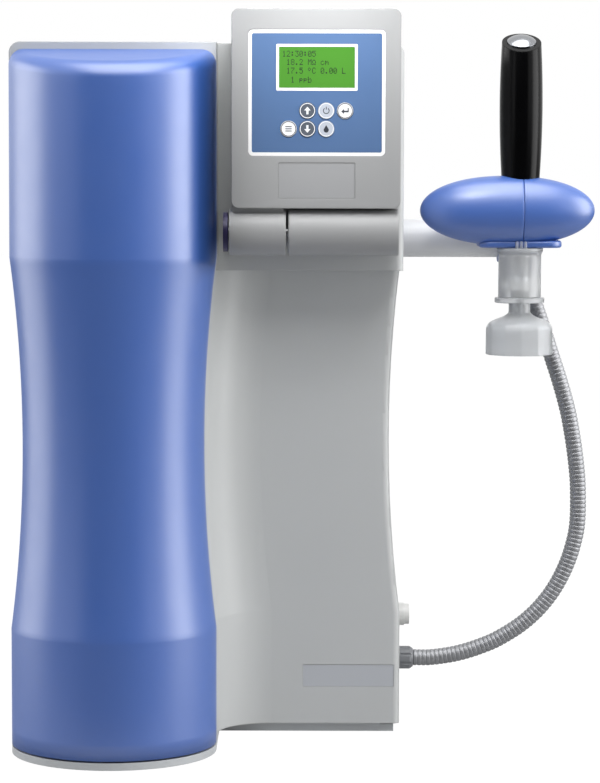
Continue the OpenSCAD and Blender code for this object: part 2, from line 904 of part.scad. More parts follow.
module pod_shell() {
    difference() {
        intersection() {
            pod_form(0);
            translate([-far / 2, -far / 2, pod_flat_z]) cube([far, far, far]);
        }
        intersection() {
            pod_form(pod_wall);
            translate([-far / 2, -far / 2, pod_flat_z + 4]) cube([far, far, far]);
        }
        translate([disp_x, disp_y, grip_z]) cylinder(r = grip_end_r + fit, h = 60, $fn = fine);
        tongue(fit);
        translate([gland_x, hose_y, pod_flat_z - 1])
            cylinder(r = socket_r + fit / 2, h = socket_h + 1 + fit, $fn = mid);
    }
}

module pod_left() {
    color([0.36, 0.49, 0.68]) intersection() {
        pod_shell();
        translate([pod_part_x - far, -far / 2, 0]) cube([far, far, far]);
    }
}

module pod_right() {
    color([0.36, 0.49, 0.68]) intersection() {
        pod_shell();
        translate([pod_part_x, -far / 2, 0]) cube([far, far, far]);
    }
}

plate_w = 70.6;
plate_t = 5;
plate_front = 25;
plate_back = 41;
plate_z = pod_flat_z - plate_t;

module pod_plate() {
    color([0.36, 0.49, 0.68]) difference() {
        translate([disp_x - plate_w / 2, disp_y - plate_front, plate_z]) linear_extrude(plate_t)
            rounded_rect(plate_w, plate_front + plate_back, 12);
        translate([disp_x, disp_y, plate_z - 1]) cylinder(r = nipple_r + fit / 2, h = plate_t + 2, $fn = mid);
        translate([gland_x, hose_y, plate_z - 1]) cylinder(r = gland_r + fit / 2, h = plate_t + 2, $fn = mid);
    }
}

socket_r = 11;
socket_h = 26;
gland_x = disp_x + 7.5;
gland_r = 8;
gland_z = plate_z - 3.8;
gland_h = 16;

module hose_socket() {
    color([0.36, 0.49, 0.68]) difference() {
        translate([gland_x, hose_y, pod_flat_z]) cylinder(r = socket_r, h = socket_h, $fn = mid);
        translate([gland_x, hose_y, pod_flat_z - 1])
            cylinder(r = gland_r + fit / 2, h = gland_z + gland_h + fit - pod_flat_z + 1, $fn = mid);
    }
}

module upper_gland() {
    color([0.52, 0.53, 0.55]) difference() {
        translate([gland_x, hose_y, gland_z]) cylinder(r = gland_r, h = gland_h, $fn = mid);
        translate([gland_x, hose_y, gland_z - 1]) cylinder(d = hose_bore, h = gland_h + 2, $fn = mid);
    }
}

// The frame of the slanted cap: its origin is where the grip's axis meets the cut
cap_drop = grip_end_r * tan(grip_slope);

module on_cap() {
    translate([disp_x, disp_y, grip_top - cap_drop]) rotate([grip_slope, 0, 0]) children();
}

button_seat = 6;
button_well = button_seat + thumb_travel + 3.5;
button_stem = 3;

module grip() {
    long_r = (grip_l * grip_l / 4 + grip_taper * grip_taper) / (2 * grip_taper);
    color([0.05, 0.05, 0.06]) difference() {
        translate([disp_x, disp_y, grip_z]) rotate_extrude($fn = fine) intersection() {
            square([grip_r + 1, grip_l]);
            translate([grip_r - long_r, grip_l / 2]) circle(r = long_r, $fn = round_fn);
        }
        on_cap() translate([-far / 2, -far / 2, 0]) cube([far, far, far]);
        on_cap() translate([0, 0, -button_well]) cylinder(d = thumb_d + 2 * fit, h = 40, $fn = mid);
        on_cap() translate([0, 0, -button_well - 14]) cylinder(r = button_stem + fit, h = 15, $fn = mid);
    }
}

button_dome = 4.5;
dome_r = (thumb_d * thumb_d / 4 + button_dome * button_dome) / (2 * button_dome);

module thumb_button() {
    color([0.80, 0.82, 0.84]) on_cap() {
        translate([0, 0, -button_seat]) cylinder(d = thumb_d, h = button_seat + 1, $fn = mid);
        translate([0, 0, 1]) rotate_extrude($fn = mid) intersection() {
            translate([0, button_dome - dome_r]) circle(r = dome_r, $fn = fine);
            square([thumb_d, button_dome]);
        }
        translate([0, 0, -button_well - 8]) cylinder(r = button_stem, h = 16, $fn = mid);
    }
}

spring_r = 6;

module button_spring() {
    color([0.70, 0.71, 0.72]) on_cap() difference() {
        translate([0, 0, -button_well]) cylinder(r = spring_r, h = button_well - button_seat, $fn = mid);
        translate([0, 0, -button_well - 1]) cylinder(r = spring_r - 1.5, h = 20, $fn = mid);
    }
}

nipple_r = 5.1;
collar_top = plate_z - 0.4;
collar_shoulder = 6;
collar_lip = 1.6;
collar_z = collar_top - collar_shoulder - collar_h;
nipple_end = collar_z + 20;
outlet_r = 2.5;

module at_outlet(z) {
    translate([disp_x, disp_y, z]) children();
}

module outlet_nipple() {
    color([0.85, 0.86, 0.88]) difference() {
        at_outlet(nipple_end) cylinder(r = nipple_r, h = pod_flat_z - nipple_end, $fn = mid);
        at_outlet(nipple_end - 1) cylinder(r = outlet_r, h = 60, $fn = mid);
    }
}

disc_r = 14;
disc_h = 8;

module filter_collar() {
    color([0.80, 0.82, 0.86]) difference() {
        at_outlet(collar_z) rotate_extrude($fn = fine)
            polygon([[0, 0], [collar_r, 0], [collar_r, collar_h], [collar_r + collar_lip, collar_h + 3],
                [collar_r + collar_lip, collar_h + collar_shoulder - 1],
                [collar_r + collar_lip - 1, collar_h + collar_shoulder],
                [0, collar_h + collar_shoulder]]);
        at_outlet(nipple_end) cylinder(r = nipple_r + fit / 2, h = 60, $fn = mid);
        at_outlet(collar_z + 6) cylinder(r = disc_r + fit, h = disc_h + fit, $fn = fine);
        at_outlet(collar_z - 1) cylinder(r = outlet_r, h = 60, $fn = mid);
    }
}

module filter_disc() {
    color([0.95, 0.95, 0.94])
        at_outlet(collar_z + 6 + fit / 2) cylinder(r = disc_r, h = disc_h, $fn = fine);
}

flange_r = 21.2;
flange_t = 4.6;
bell_neck_r = 9.2;
bell_neck_h = 9.2;
bell_edge_r = 5;
bell_slope = 28;
shoulder_h = bell_edge_r * cos(bell_slope)
    + (bell_r - bell_edge_r * (1 - sin(bell_slope)) - bell_neck_r) * tan(bell_slope);
bell_z = collar_z - flange_t - bell_neck_h - shoulder_h - bell_h;

// Half section of the bell: a straight skirt, a round edge and a cone up to the neck
module bell_2d(inset) {
    e = bell_edge_r - inset;
    x_c = bell_r - bell_edge_r;
    x_t = x_c + e * sin(bell_slope);
    z_t = bell_h + e * cos(bell_slope);
    square([bell_r - inset, bell_h]);
    intersection() {
        translate([x_c, bell_h]) circle(r = e, $fn = fine);
        translate([x_c - 1, bell_h - 1]) square([e + 1, e + 1]);
    }
    polygon([[0, bell_h - 1], [x_c, bell_h - 1], [x_t, z_t], [0, z_t + x_t * tan(bell_slope)]]);
}

module filter_bell() {
    color([0.84, 0.86, 0.89]) difference() {
        at_outlet(bell_z) rotate_extrude($fn = fine) {
            bell_2d(0);
            translate([0, bell_h]) square([bell_neck_r, shoulder_h + bell_neck_h + 1]);
            translate([0, bell_h + shoulder_h + bell_neck_h]) square([flange_r, flange_t]);
        }
        at_outlet(bell_z) rotate_extrude($fn = fine) bell_2d(bell_wall);
        at_outlet(bell_z - 1) rotate_extrude($fn = fine) square([bell_r - bell_wall, 2]);
        at_outlet(bell_z) cylinder(r = outlet_r, h = 120, $fn = mid);
    }
}

// ---------- Hose ----------

nut_l = 13;
nut_flutes = 8;

module hose_nut() {
    color([0.48, 0.49, 0.50]) translate([x_right, hose_y, hose_z]) rotate([0, 90, 0]) difference() {
        union() {
            cylinder(d = nut_d, h = nut_l - 3, $fn = mid);
            translate([0, 0, nut_l - 3 - eps]) cylinder(d1 = nut_d, d2 = nut_d - 4, h = 3 + eps, $fn = mid);
        }
        translate([0, 0, -1]) cylinder(d = hose_bore, h = nut_l + 2, $fn = mid);
        for (i = [0:nut_flutes - 1])
            rotate([0, 0, (i + 0.5) * 360 / nut_flutes]) translate([nut_d / 2 + 0.6, 0, 2])
                cylinder(r = 1.8, h = nut_l, $fn = 24);
    }
}

side_port_d = 18;
side_port_l = 10.5;

module side_port() {
    color([0.90, 0.90, 0.89]) translate([x_right, side_port_y, port_z]) rotate([0, 90, 0]) difference() {
        union() {
            cylinder(d = side_port_d, h = side_port_l, $fn = mid);
            cylinder(d = side_port_d + 2, h = 6, $fn = mid);
        }
        translate([0, 0, -1]) cylinder(d = port_bore, h = side_port_l + 2, $fn = mid);
    }
}

// Steps from the nut to the points that the hose passes through, across and up, and the same
// points when the nut and the gland are where they are
route_shape = [[0, 0], [14, 0], [27, 1.5], [38, 3.5], [49, 6.5], [59, 10], [70, 14.5], [80, 20],
    [91, 27], [101, 35], [111, 45], [121, 58], [129, 72], [135, 86], [139, 99], [142, 113],
    [143, 127], [143, 141], [142.5, 156], [141, 171], [139, 186], [136.5, 201], [133.5, 216],
    [129.5, 231], [125, 246], [120, 261], [114.5, 278], [108.5, 296], [103, 312], [98.5, 327],
    [96.5, 336], [96, 343], [96, 355]];
across = (gland_x - x_right - nut_l) / 96;
upwards = (gland_z - hose_z) / 355;
route = [for (p = route_shape) [x_right + nut_l + p[0] * across, hose_z + p[1] * upwards]];
steps = 8;
hose_sides = 8;

// A smooth curve through the route's points
function route_slope(i) =
    i == 0 ? [route[1][0] - route[0][0], 0]
    : i == len(route) - 1 ? [0, route[i][1] - route[i - 1][1]]
    : (route[i + 1] - route[i - 1]) / 2;
function route_point(i, t) =
    route[i] * (2 * t * t * t - 3 * t * t + 1) + route_slope(i) * (t * t * t - 2 * t * t + t)
    + route[i + 1] * (3 * t * t - 2 * t * t * t) + route_slope(i + 1) * (t * t * t - t * t);
line = [for (k = [0:steps * (len(route) - 1)])
    let (i = min(floor(k / steps), len(route) - 2)) route_point(i, k / steps - i)];
gaps = [for (k = [1:len(line) - 1]) norm(line[k] - line[k - 1])];
function running_sum(v, i = 0, s = 0, out = [0]) =
    i == len(v) ? out : running_sum(v, i + 1, s + v[i], concat(out, [s + v[i]]));
along = running_sum(gaps);
hose_l = along[len(along) - 1];
x_at = [for (k = [0:len(line) - 1]) [along[k], line[k][0]]];
z_at = [for (k = [0:len(line) - 1]) [along[k], line[k][1]]];
function hose_at(s) = [lookup(s, x_at), lookup(s, z_at)];

// One ring of the hose at a distance along it
function hose_ring(s, r) =
    let (d = 1.5,
        a = hose_at(max(0, s - d)),
        b = hose_at(min(hose_l, s + d)),
        t = s < hose_d ? [1, 0] : s > hose_l - hose_d ? [0, 1] : (b - a) / norm(b - a),
        c = hose_at(s))
    [for (k = [0:hose_sides - 1])
        let (w = 360 * (k + 0.5) / hose_sides)
        [c[0] - t[1] * r * cos(w), hose_y + r * sin(w), c[1] + t[0] * r * cos(w)]];

ribs = floor(hose_l / rib_pitch);
outer_rings = [for (k = [0:2 * ribs])
    hose_ring(hose_l * k / (2 * ribs), hose_d / 2 - (k % 2 == 0 ? rib_depth : 0))];
bore_count = 40;
inner_rings = [for (k = [0:bore_count]) hose_ring(hose_l * k / bore_count, hose_bore / 2)];

// Triangles between two neighbouring rings that start at points a and b
function band(a, b) = [for (k = [0:hose_sides - 1])
    let (n = (k + 1) % hose_sides) each [[a + k, b + n, a + n], [a + k, b + k, b + n]]];
function tube_bands(first, count, flip) = [for (j = [0:count - 2])
    let (a = first + j * hose_sides, b = a + hose_sides) each (flip ? band(b, a) : band(a, b))];

module hose() {
    n_out = len(outer_rings);
    n_in = len(inner_rings);
    inner_first = n_out * hose_sides;
    points = concat([for (r = outer_rings) each r], [for (r = inner_rings) each r]);
    faces = concat(
        tube_bands(0, n_out, false),
        tube_bands(inner_first, n_in, true),
        band(inner_first, 0),
        band((n_out - 1) * hose_sides, inner_first + (n_in - 1) * hose_sides));
    color([0.60, 0.61, 0.62]) polyhedron(points = points, faces = faces, convexity = 10);
}

base_tray();
foot(0);  // foot_1
foot(1);  // foot_2
foot(2);  // foot_3
foot(3);  // foot_4
rear_housing();
front_shell();
head_front();
back_panel();
chassis();
cartridge_cover();
cartridge();
cartridge_head();
uv_reactor();
ultrafilter();
pump();
solenoid_valve();
conductivity_cell();
power_supply();
control_board();
console_shell();
console_back();
foil_frame();
foil_field();
lcd_window();
lcd_module();
key(0, [0.92, 0.93, 0.94]);  // key_menu
key(1, [0.30, 0.33, 0.38]);  // key_up
key(2, [0.75, 0.77, 0.80]);  // key_standby
key(3, [0.92, 0.93, 0.94]);  // key_enter
key(4, [0.30, 0.33, 0.38]);  // key_down
key(5, [0.75, 0.77, 0.80]);  // key_dispense
key_board();
console_label();
hinge_bracket();
hinge_pin();
hinge_cap();
arm_tube();
arm_flange();
arm_end_cap();
hanger();
pod_left();
pod_right();
pod_plate();
hose_socket();
grip();
thumb_button();
button_spring();
outlet_nipple();
filter_collar();
filter_disc();
filter_bell();
upper_gland();
hose();
hose_nut();
side_port();
housing_label();
mains_inlet();
rear_port(feed_x);  // feed_port
rear_port(drain_x);  // drain_port
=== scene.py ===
# %% [markdown]
# # A bench ultrapure water system
# The machine is a tall grey housing with a waisted blue column on its left, a console on a
# hinge, and a hand dispenser on an arm, fed by a ribbed hose. Its solids come from the CAD
# model, already in their true places. This lesson gives them their finishes and adds what
# CAD leaves out: smooth skins, the hose, the display's digits and the marks on the keys.

# %% Load the frame
import json
import math

import bmesh
import bpy
import numpy as np
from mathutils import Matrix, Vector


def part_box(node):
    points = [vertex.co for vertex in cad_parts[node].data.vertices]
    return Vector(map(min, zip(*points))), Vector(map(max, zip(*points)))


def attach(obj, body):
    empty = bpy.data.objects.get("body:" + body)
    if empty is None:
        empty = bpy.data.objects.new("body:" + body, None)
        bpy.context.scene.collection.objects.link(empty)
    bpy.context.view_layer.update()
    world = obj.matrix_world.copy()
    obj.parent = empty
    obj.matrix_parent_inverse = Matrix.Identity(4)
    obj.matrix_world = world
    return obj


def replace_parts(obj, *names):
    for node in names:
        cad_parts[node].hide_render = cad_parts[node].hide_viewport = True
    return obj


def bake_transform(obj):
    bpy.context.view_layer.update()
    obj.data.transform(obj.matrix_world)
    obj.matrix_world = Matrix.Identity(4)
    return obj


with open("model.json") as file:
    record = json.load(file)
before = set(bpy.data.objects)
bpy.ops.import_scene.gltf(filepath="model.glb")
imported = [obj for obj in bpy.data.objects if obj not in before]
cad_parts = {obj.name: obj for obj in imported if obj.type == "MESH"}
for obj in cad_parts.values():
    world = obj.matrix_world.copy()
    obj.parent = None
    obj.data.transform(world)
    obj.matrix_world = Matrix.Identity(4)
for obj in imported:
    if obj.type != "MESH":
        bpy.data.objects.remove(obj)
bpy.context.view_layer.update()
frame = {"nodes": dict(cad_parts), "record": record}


# %% [markdown]
# ## Camera
# The catalogue view is taken from far off and a little above, so upright lines stay nearly
# upright. A long lens does that: it stands 2.5 m off and looks down by less than 5 degrees.
# Its place, tilt and lens were fitted to the photograph's outline.

# %% Camera
LENS_MM = 132.1
CAMERA_AT = (-0.0065, -2.466, 0.4933)
LOOKS_DOWN = math.radians(4.64)
ROLL = -0.0024

camera_data = bpy.data.cameras.new("camera")
camera_data.lens = LENS_MM
camera_data.sensor_width = 36.0
camera_data.clip_end = 50.0
camera = bpy.data.objects.new("camera", camera_data)
camera.location = CAMERA_AT
camera.rotation_euler = (math.pi / 2 - LOOKS_DOWN, ROLL, 0.0)
bpy.context.collection.objects.link(camera)
bpy.context.scene.camera = camera
print("camera lens", LENS_MM, "mm")


# %% [markdown]
# ## Surfaces from grids
# Every new piece is a sheet bent in space: a function of two parameters gives its points as
# one array, and this helper turns the grid into a mesh. Rows run along the first parameter
# and columns along the second. A grid may close on itself, and a closed tube may get caps.

# %% Grid helper
def add_object(name, points, faces, finish=None, smooth=True, closed=True):
    """A mesh object from points and faces. A closed one is merged at its poles and faces outwards."""
    mesh = bpy.data.meshes.new(name)
    mesh.from_pydata(np.asarray(points, float).tolist(), [], [list(f) for f in faces])
    mesh.update()
    if closed:
        work = bmesh.new()
        work.from_mesh(mesh)
        bmesh.ops.remove_doubles(work, verts=work.verts, dist=1e-7)
        bmesh.ops.recalc_face_normals(work, faces=work.faces)
        work.to_mesh(mesh)
        work.free()
    mesh.polygons.foreach_set("use_smooth", np.full(len(mesh.polygons), smooth))
    piece = bpy.data.objects.new(name, mesh)
    bpy.context.collection.objects.link(piece)
    if finish is not None:
        mesh.materials.append(finish)
    return piece


def grid_faces(rows, columns, wrap_rows=False, wrap_columns=False, first=0):
    """Four-sided faces of a grid: a point, then its right, upper right and upper neighbours."""
    i = np.arange(rows if wrap_rows else rows - 1)[:, None]
    j = np.arange(columns if wrap_columns else columns - 1)[None, :]
    i2, j2 = (i + 1) % rows, (j + 1) % columns
    corners = [i * columns + j, i * columns + j2, i2 * columns + j2, i2 * columns + j]
    return np.stack(np.broadcast_arrays(*corners), -1).reshape(-1, 4) + first


def tube(name, rings, finish=None):
    """A closed tube: rings is an array of rings x points x 3, and a fan of faces closes each end."""
    rows, columns = rings.shape[:2]
    count = rows * columns
    ends = np.stack([rings[0].mean(0), rings[-1].mean(0)])
    points = np.concatenate([rings.reshape(-1, 3), ends])
    faces = grid_faces(rows, columns, wrap_columns=True).tolist()
    j = np.arange(columns)
    k = (j + 1) % columns
    last = count - columns
    faces += np.stack([k, j, np.full(columns, count)], -1).tolist()
    faces += np.stack([last + j, last + k, np.full(columns, count + 1)], -1).tolist()
    return add_object(name, points, faces, finish)


def shell(name, outer, inner, finish=None):
    """A wall between two grids of the same shape, closed along all four edges."""
    rows, columns = outer.shape[:2]
    count = rows * columns
    points = np.concatenate([outer.reshape(-1, 3), inner.reshape(-1, 3)])
    faces = grid_faces(rows, columns).tolist()
    faces += grid_faces(rows, columns, first=count)[:, ::-1].tolist()
    grid = np.arange(count).reshape(rows, columns)
    for edge in (grid[0], grid[-1][::-1], grid[::-1, 0], grid[:, -1]):
        faces += np.stack([edge[1:], edge[:-1], edge[:-1] + count, edge[1:] + count], -1).tolist()
    return add_object(name, points, faces, finish)


def turned(name, profile, centre, sides=96, finish=None, swell=1.0):
    """A closed profile of (radius, height) pairs turned about an upright axis.

    swell scales the radii, by profile point and by angle.
    """
    profile = np.asarray(profile, float)
    w = 2 * np.pi * np.arange(sides) / sides
    radius = profile[:, 0, None] * np.broadcast_to(swell, (len(profile), sides))
    rings = np.stack([centre[0] + radius * np.cos(w), centre[1] + radius * np.sin(w),
                      np.broadcast_to(profile[:, 1, None], radius.shape)], -1)
    faces = grid_faces(len(profile), sides, True, True).tolist()
    return add_object(name, rings.reshape(-1, 3), faces, finish)


def arc(centre, radius, start, stop, count=8):
    """Points on a circle's arc from one angle to another, in degrees."""
    a = np.radians(np.linspace(start, stop, count))
    return np.stack([centre[0] + radius * np.cos(a), centre[1] + radius * np.sin(a)], -1)


def rounded_outline(width, height, radius, count=10):
    """A rectangle with round corners about (0, 0): its points and its outward directions."""
    corners, out = [], []
    for k, side in enumerate([(1, -1), (1, 1), (-1, 1), (-1, -1)]):
        turn = arc((0, 0), 1.0, 90 * k - 90, 90 * k, count)
        middle = np.array(side) * (width / 2 - radius, height / 2 - radius)
        corners.append(middle + radius * turn)
        out.append(turn)
    return np.concatenate(corners), np.concatenate(out)


def slab(name, outline, out, centre, low, high, edge, finish=None):
    """A plate with round edges: the outline steps inwards by edge at its bottom and its top."""
    a = np.radians(np.linspace(0, 90, 6))
    inset = np.concatenate([edge * (1 - np.sin(a)), edge * (1 - np.cos(a))])
    level = np.concatenate([low + edge * (1 - np.cos(a)), high - edge + edge * np.sin(a)])
    flat = outline[None] - out[None] * inset[:, None, None] + np.asarray(centre)
    heights = np.broadcast_to(level[:, None, None], flat[..., :1].shape)
    return tube(name, np.concatenate([flat, heights], -1), finish)


# %% [markdown]
# ## Hose
# The supply hose is a metallised tube with a ring every 3.75 mm. It leaves its nut level,
# sweeps up beside the machine and enters the dispenser from below. The points below are the
# same ones that the CAD model uses, so the drawn hose lies where the solid one does.

# %% Hose route
HOSE_Y = 0.018
RIB_STEP = 0.00375
HOSE_RADIUS, GROOVE_RADIUS = 0.0070, 0.0064
route_xz = np.array([
    (93, 59), (107, 59), (120, 60.5), (131, 62.5), (142, 65.5), (152, 69), (163, 73.5), (173, 79),
    (184, 86), (194, 94), (204, 104), (214, 117), (222, 131), (228, 145), (232, 158), (235, 172),
    (236, 186), (236, 200), (235.5, 215), (234, 230), (232, 245), (229.5, 260), (226.5, 275),
    (222.5, 290), (218, 305), (213, 320), (207.5, 337), (201.5, 355), (196, 371), (191.5, 386),
    (189.5, 395), (189, 402), (189, 414)]) / 1000.0


def smooth_line(points, per_step):
    """A curve through points in cubic pieces, level at its start and upright at its end.

    The slope at a point is half the step between its neighbours.
    """
    slope = np.gradient(points, axis=0)
    slope[0] = (points[1, 0] - points[0, 0], 0)
    slope[-1] = (0, points[-1, 1] - points[-2, 1])
    t = np.arange(per_step)[None, :, None] / per_step
    a, b, m, n = points[:-1, None], points[1:, None], slope[:-1, None], slope[1:, None]
    body = (a * (2 * t**3 - 3 * t**2 + 1) + m * (t**3 - 2 * t**2 + t)
            + b * (3 * t**2 - 2 * t**3) + n * (t**3 - t**2))
    return np.concatenate([body.reshape(-1, points.shape[1]), points[-1:]])


def even_steps(line, count):
    """The same line with points an equal distance apart, and its length."""
    along = np.concatenate([[0], np.cumsum(np.linalg.norm(np.diff(line, axis=0), axis=1))])
    at = np.linspace(0, along[-1], count)
    return np.stack([np.interp(at, along, line[:, k]) for k in range(line.shape[1])], -1), along[-1]


hose_line = smooth_line(route_xz, 24)
hose_length = even_steps(hose_line, 2)[1]
print("hose length", round(hose_length, 4), "m")


# %% Hose mesh
def ribbed_hose():
    """Rings across the hose's line; the radius falls from a rib's to a groove's once in every step."""
    ribs = int(hose_length / RIB_STEP)
    per_rib, sides = 8, 26
    line, _ = even_steps(hose_line, ribs * per_rib + 1)
    tangent = np.gradient(line, axis=0)
    tangent /= np.linalg.norm(tangent, axis=1)[:, None]
    tangent[0], tangent[-1] = (1, 0), (0, 1)
    phase = np.arange(len(line)) / per_rib % 1.0
    crest = np.clip(1.35 * np.sin(np.pi * phase) ** 0.8, 0, 1)
    radius = GROOVE_RADIUS + (HOSE_RADIUS - GROOVE_RADIUS) * crest
    w = 2 * np.pi * np.arange(sides) / sides
    x = line[:, 0, None] - tangent[:, 1, None] * radius[:, None] * np.cos(w)
    z = line[:, 1, None] + tangent[:, 0, None] * radius[:, None] * np.cos(w)
    y = HOSE_Y + radius[:, None] * np.sin(w)
    return tube("ribbed_hose", np.stack([x, y, z], -1))


hose = ribbed_hose()
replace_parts(hose, "hose")
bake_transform(hose)
print("hose faces", len(hose.data.polygons))


# %% [markdown]
# ## Writing materials as sums
# A finish is a small network of nodes. To keep it readable, a socket is wrapped in a class
# with Python's operators, so that noise * 0.2 + 0.5 adds its two Math nodes by itself. All
# other nodes come from one method that sets a node's options first and its inputs second.

# %% Socket class
class Wire:
    """One output socket. Sums, products and comparisons on it add Math nodes."""

    def __init__(self, finish, socket):
        self.finish, self.socket = finish, socket

    def _math(self, operation, other):
        inputs = {0: self, 1: other}
        return self.finish.node("ShaderNodeMath", {"operation": operation}, inputs)[0]

    def __add__(self, other):
        return self._math("ADD", other)

    def __mul__(self, other):
        return self._math("MULTIPLY", other)

    def __gt__(self, other):
        return self._math("GREATER_THAN", other)

    def __lt__(self, other):
        return self._math("LESS_THAN", other)


class Node:
    """A node whose outputs are read as wires by number or name."""

    def __init__(self, finish, node):
        self.finish, self.node = finish, node

    def __getitem__(self, key):
        return Wire(self.finish, self.node.outputs[key])


class Finish:
    """One material. node() adds a node: settings first, then the values or wires of its inputs."""

    def __init__(self, name):
        self.material = bpy.data.materials.new(name)
        self.material.use_nodes = True
        self.tree = self.material.node_tree
        self.tree.nodes.clear()

    def node(self, kind, settings=None, inputs=None):
        node = self.tree.nodes.new(kind)
        for key, value in (settings or {}).items():
            if key == "stops":
                while len(node.color_ramp.elements) < len(value):
                    node.color_ramp.elements.new(0.5)
                for element, (place, colour) in zip(node.color_ramp.elements, value):
                    element.position, element.color = place, colour
            else:
                setattr(node, key, value)
        for key, value in (inputs or {}).items():
            if isinstance(value, Wire):
                self.tree.links.new(value.socket, node.inputs[key])
            else:
                node.inputs[key].default_value = value
        return Node(self, node)

    def place(self):
        """The point on the piece, in metres, which stays with the piece when it moves."""
        return self.node("ShaderNodeTexCoord")["Object"]

    def noise(self, size, detail=2.0, roughness=0.5, stretch=(1, 1, 1)):
        """Noise from 0 to 1 whose lumps are about size metres across."""
        at = self.node("ShaderNodeMapping", None, {"Vector": self.place(), "Scale": stretch})[0]
        return self.node("ShaderNodeTexNoise", None, {
            "Vector": at, "Scale": 1.0 / size, "Detail": detail, "Roughness": roughness})[0]

    def mix(self, factor, a, b):
        """Colour a where the factor is 0 and b where it is 1."""
        return self.node("ShaderNodeMix", {"data_type": "RGBA"}, {
            "Factor": factor, 6: a, 7: b})[2]

    def bump(self, height, depth, under=None):
        """A normal bent by a height from 0 to 1 that stands for depth metres."""
        inputs = {"Height": height, "Distance": depth, "Strength": 1.0}
        if under is not None:
            inputs["Normal"] = under
        return self.node("ShaderNodeBump", None, inputs)[0]

    def round_edges(self, radius):
        """A normal that turns smoothly over an edge, as a moulded edge does."""
        return self.node("ShaderNodeBevel", {"samples": 6}, {"Radius": radius})[0]

    def surface(self, **sockets):
        """The main shader, with its sockets named by words joined with underscores."""
        inputs = {}
        for key, value in sockets.items():
            inputs[key.replace("_", " ").title().replace("Ior", "IOR")] = value
        shader = self.node("ShaderNodeBsdfPrincipled", None, inputs)
        self.node("ShaderNodeOutputMaterial", None, {"Surface": shader[0]})
        return self.material


def screen(r, g, b):
    """A colour as a screen shows it, 0 to 255, turned into the linear values that Blender mixes."""
    c = np.array([r, g, b]) / 255.0
    c = np.where(c <= 0.04045, c / 12.92, ((c + 0.055) / 1.055) ** 2.4)
    return (*[float(v) for v in c], 1.0)


# %% [markdown]
# ## Moulded plastic
# Most of the machine is injection-moulded. Under a lamp such plastic shows a very fine grain
# from the mould's etched steel, slow changes of gloss where the melt flowed, and soft round
# edges. One function makes them all; the colour, the gloss and the grain's size set them apart.

# %% Plastic
COLOUR_LUMP, MELT_LUMP, SCUFF_SIZE = 0.11, 0.02, 0.0035
DARKEST, MELT_CHANGE, SCUFF_CHANGE = 0.94, 0.10, 0.05


def darker(colour, share):
    """A colour with its three parts multiplied by a share."""
    return tuple(v * share for v in colour[:3]) + (1.0,)


def plastic(name, colour, gloss=0.35, grain=0.0006, depth=0.00002, edge=0.0006,
            clear=0.0, specular=0.5, glow=0.0, ior=1.5):
    """Colour that drifts a little, roughness that drifts with the melt, scuffs and a fine grain.

    grain is the size of the etched texture and depth its height; edge is the radius that the
    shading gives to sharp edges, all in metres.
    """
    f = Finish(name)
    tint = f.mix(f.noise(COLOUR_LUMP, 3.0), darker(colour, DARKEST), colour)
    flow = f.noise(MELT_LUMP, 4.0, 0.6)
    scuff = f.noise(SCUFF_SIZE, 5.0, 0.7, (1, 1, 0.35)) > 0.66
    roughness = flow * MELT_CHANGE + (gloss - MELT_CHANGE / 2) + scuff * SCUFF_CHANGE
    normal = f.bump(f.noise(grain, 2.0), depth, f.round_edges(edge))
    return f.surface(base_color=tint, roughness=roughness, normal=normal,
                     transmission_weight=clear, specular_ior_level=specular, ior=ior,
                     emission_color=colour, emission_strength=glow)


